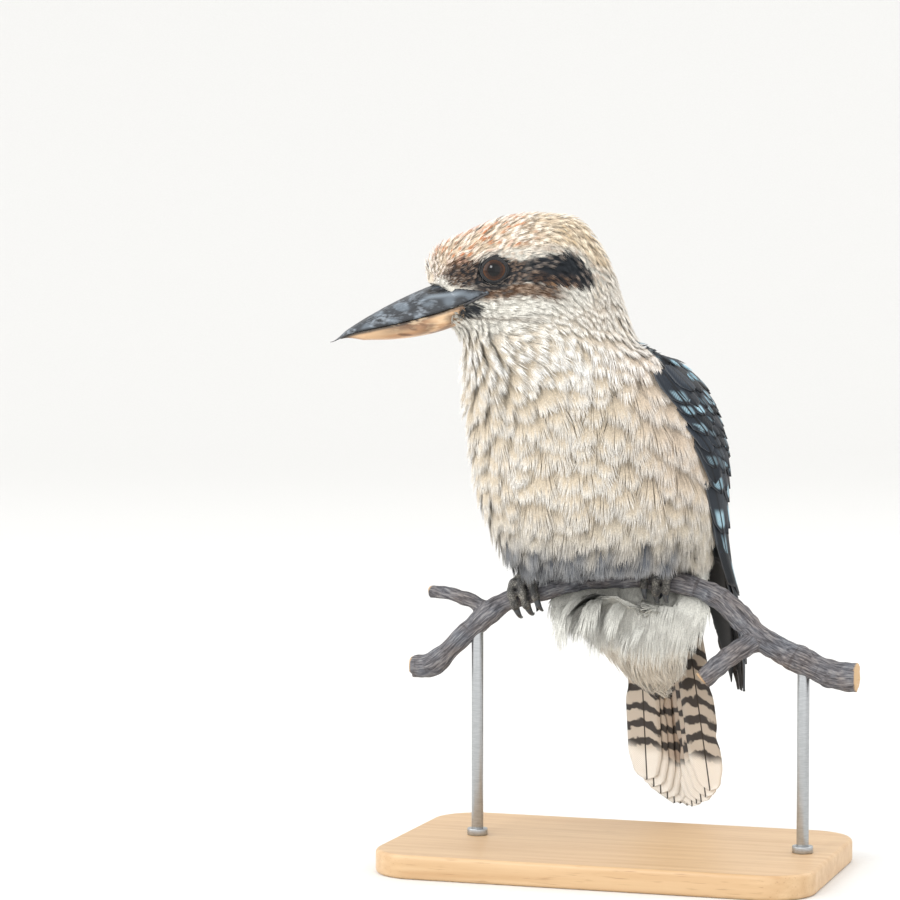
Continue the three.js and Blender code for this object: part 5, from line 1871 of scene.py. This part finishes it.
def studio_floor(settings):
    """Matt paper that lies flat under the bird and bends up behind it."""
    bm = bmesh.new()
    bmesh.ops.create_grid(bm, x_segments=1, y_segments=40, size=1)
    # In metres: half the width, the bend's radius, where it starts, the front edge and the whole run
    half, bend, far, front, whole = 9, 3.0, 3.5, -4.0, 14.0
    for vert in bm.verts:
        run = (vert.co.y + 1) / 2 * whole + front
        turn = min(max((run - far) / bend, 0), math.pi / 2)
        rest = max(run - far - bend * math.pi / 2, 0)
        flat = (vert.co.x * half, min(run, far) + bend * math.sin(turn), bend * (1 - math.cos(turn)) + rest)
        vert.co = Matrix.Rotation(settings.azimuth, 3, "Z") @ Vector(flat)
    bmesh.ops.recalc_face_normals(bm, faces=bm.faces)
    finish, tree = new_finish("matt_paper")
    place = node(tree, "TexCoord", out="Object")
    grain = node(tree, "TexNoise", {"Vector": place, "Scale": 300.0})
    tone = node(tree, "Mix", {0: grain, 6: (*settings.floor, 1.0), 7: "e3e3e1"}, MIXED, data_type="RGBA")
    feed(finish, Base_Color=tone, Roughness=0.9)
    mesh = bpy.data.meshes.new("floor")
    bm.to_mesh(mesh)
    bm.free()
    mesh.polygons.foreach_set("use_smooth", np.ones(len(mesh.polygons), bool))
    mesh.materials.append(finish)
    return bpy.data.objects.new("floor", mesh)


LAMPS = (  # name, place in metres, power in watts, width in metres
    ("key", (0.1, -1.55, 1.08), 8.0, 0.42),
    ("side", (-1.3, -1.15, 1.2), 15.0, 1.8),
    ("fill", (1.7, -1.2, 0.7), 4.0, 1.8),
    ("rim", (0.6, 1.6, 1.6), 9.0, 1.0),
)
LAMPS_AIM = Vector((0.0, -0.02, 0.2))


class KOOKABURRA_OT_stage(bpy.types.Operator):
    """Pale floor and backdrop, soft studio light and the camera"""
    bl_idname = "kookaburra.stage"
    bl_label = "Stage"

    def execute(self, context):
        scene, settings = context.scene, context.scene.stage_settings
        floor = studio_floor(settings)
        scene.collection.objects.link(floor)

        world = bpy.data.worlds.new("studio")
        world.use_nodes = True
        background = world.node_tree.nodes["Background"].inputs
        background[0].default_value, background[1].default_value = (1, 1, 1, 1), 1.3
        scene.world = world
        for name, at, power, size in LAMPS:
            lamp = bpy.data.lights.new(name, "AREA")
            lamp.energy, lamp.size = power, size
            holder = bpy.data.objects.new(name, lamp)
            holder.location = at
            holder.rotation_euler = (LAMPS_AIM - Vector(at)).to_track_quat("-Z", "Y").to_euler()
            scene.collection.objects.link(holder)

        camera = bpy.data.cameras.new("camera")
        camera.lens, camera.sensor_width = settings.lens, 36.0
        a, e = settings.azimuth, settings.elevation
        back = Vector((math.sin(a) * math.cos(e), -math.cos(a) * math.cos(e), math.sin(e)))
        # The bird stands right of the picture's middle.
        target = Vector((math.cos(a), math.sin(a), 0)) * -0.072 + Vector(ORIGIN) * MM + Vector((0, 0, 0.209))
        holder = bpy.data.objects.new("camera", camera)
        holder.location = target + back * settings.distance
        holder.rotation_euler = (-back).to_track_quat("-Z", "Y").to_euler()
        scene.collection.objects.link(holder)
        scene.camera = holder
        scene.view_settings.view_transform = "Standard"
        return {"FINISHED"}


STEPS = (
    KOOKABURRA_OT_stage, KOOKABURRA_OT_skin, KOOKABURRA_OT_coat, KOOKABURRA_OT_wings, KOOKABURRA_OT_tail,
    KOOKABURRA_OT_bill, KOOKABURRA_OT_gape, KOOKABURRA_OT_eyes, KOOKABURRA_OT_claws, KOOKABURRA_OT_branch,
    KOOKABURRA_OT_stand,
)


class KOOKABURRA_PT_panel(bpy.types.Panel):
    """Lists the pieces and their settings"""
    bl_idname = "KOOKABURRA_PT_panel"
    bl_label = "Kookaburra"
    bl_space_type = "VIEW_3D"
    bl_region_type = "UI"
    bl_category = "Kookaburra"

    def draw(self, context):
        for settings in (context.scene.coat_settings, context.scene.stage_settings):
            for name in settings.bl_rna.properties.keys():
                if name not in ("rna_type", "name"):
                    self.layout.prop(settings, name)
        for step in STEPS:
            self.layout.operator(step.bl_idname)


CLASSES = (CoatSettings, StageSettings, *STEPS, KOOKABURRA_PT_panel)


def register():
    for each in CLASSES:
        bpy.utils.register_class(each)
    bpy.types.Scene.coat_settings = PointerProperty(type=CoatSettings)
    bpy.types.Scene.stage_settings = PointerProperty(type=StageSettings)


def unregister():
    del bpy.types.Scene.stage_settings
    del bpy.types.Scene.coat_settings
    for each in reversed(CLASSES):
        bpy.utils.unregister_class(each)


def main():
    register()
    for step in STEPS:
        group, name = step.bl_idname.split(".")
        getattr(getattr(bpy.ops, group), name)()


if __name__ == "__main__":
    main()
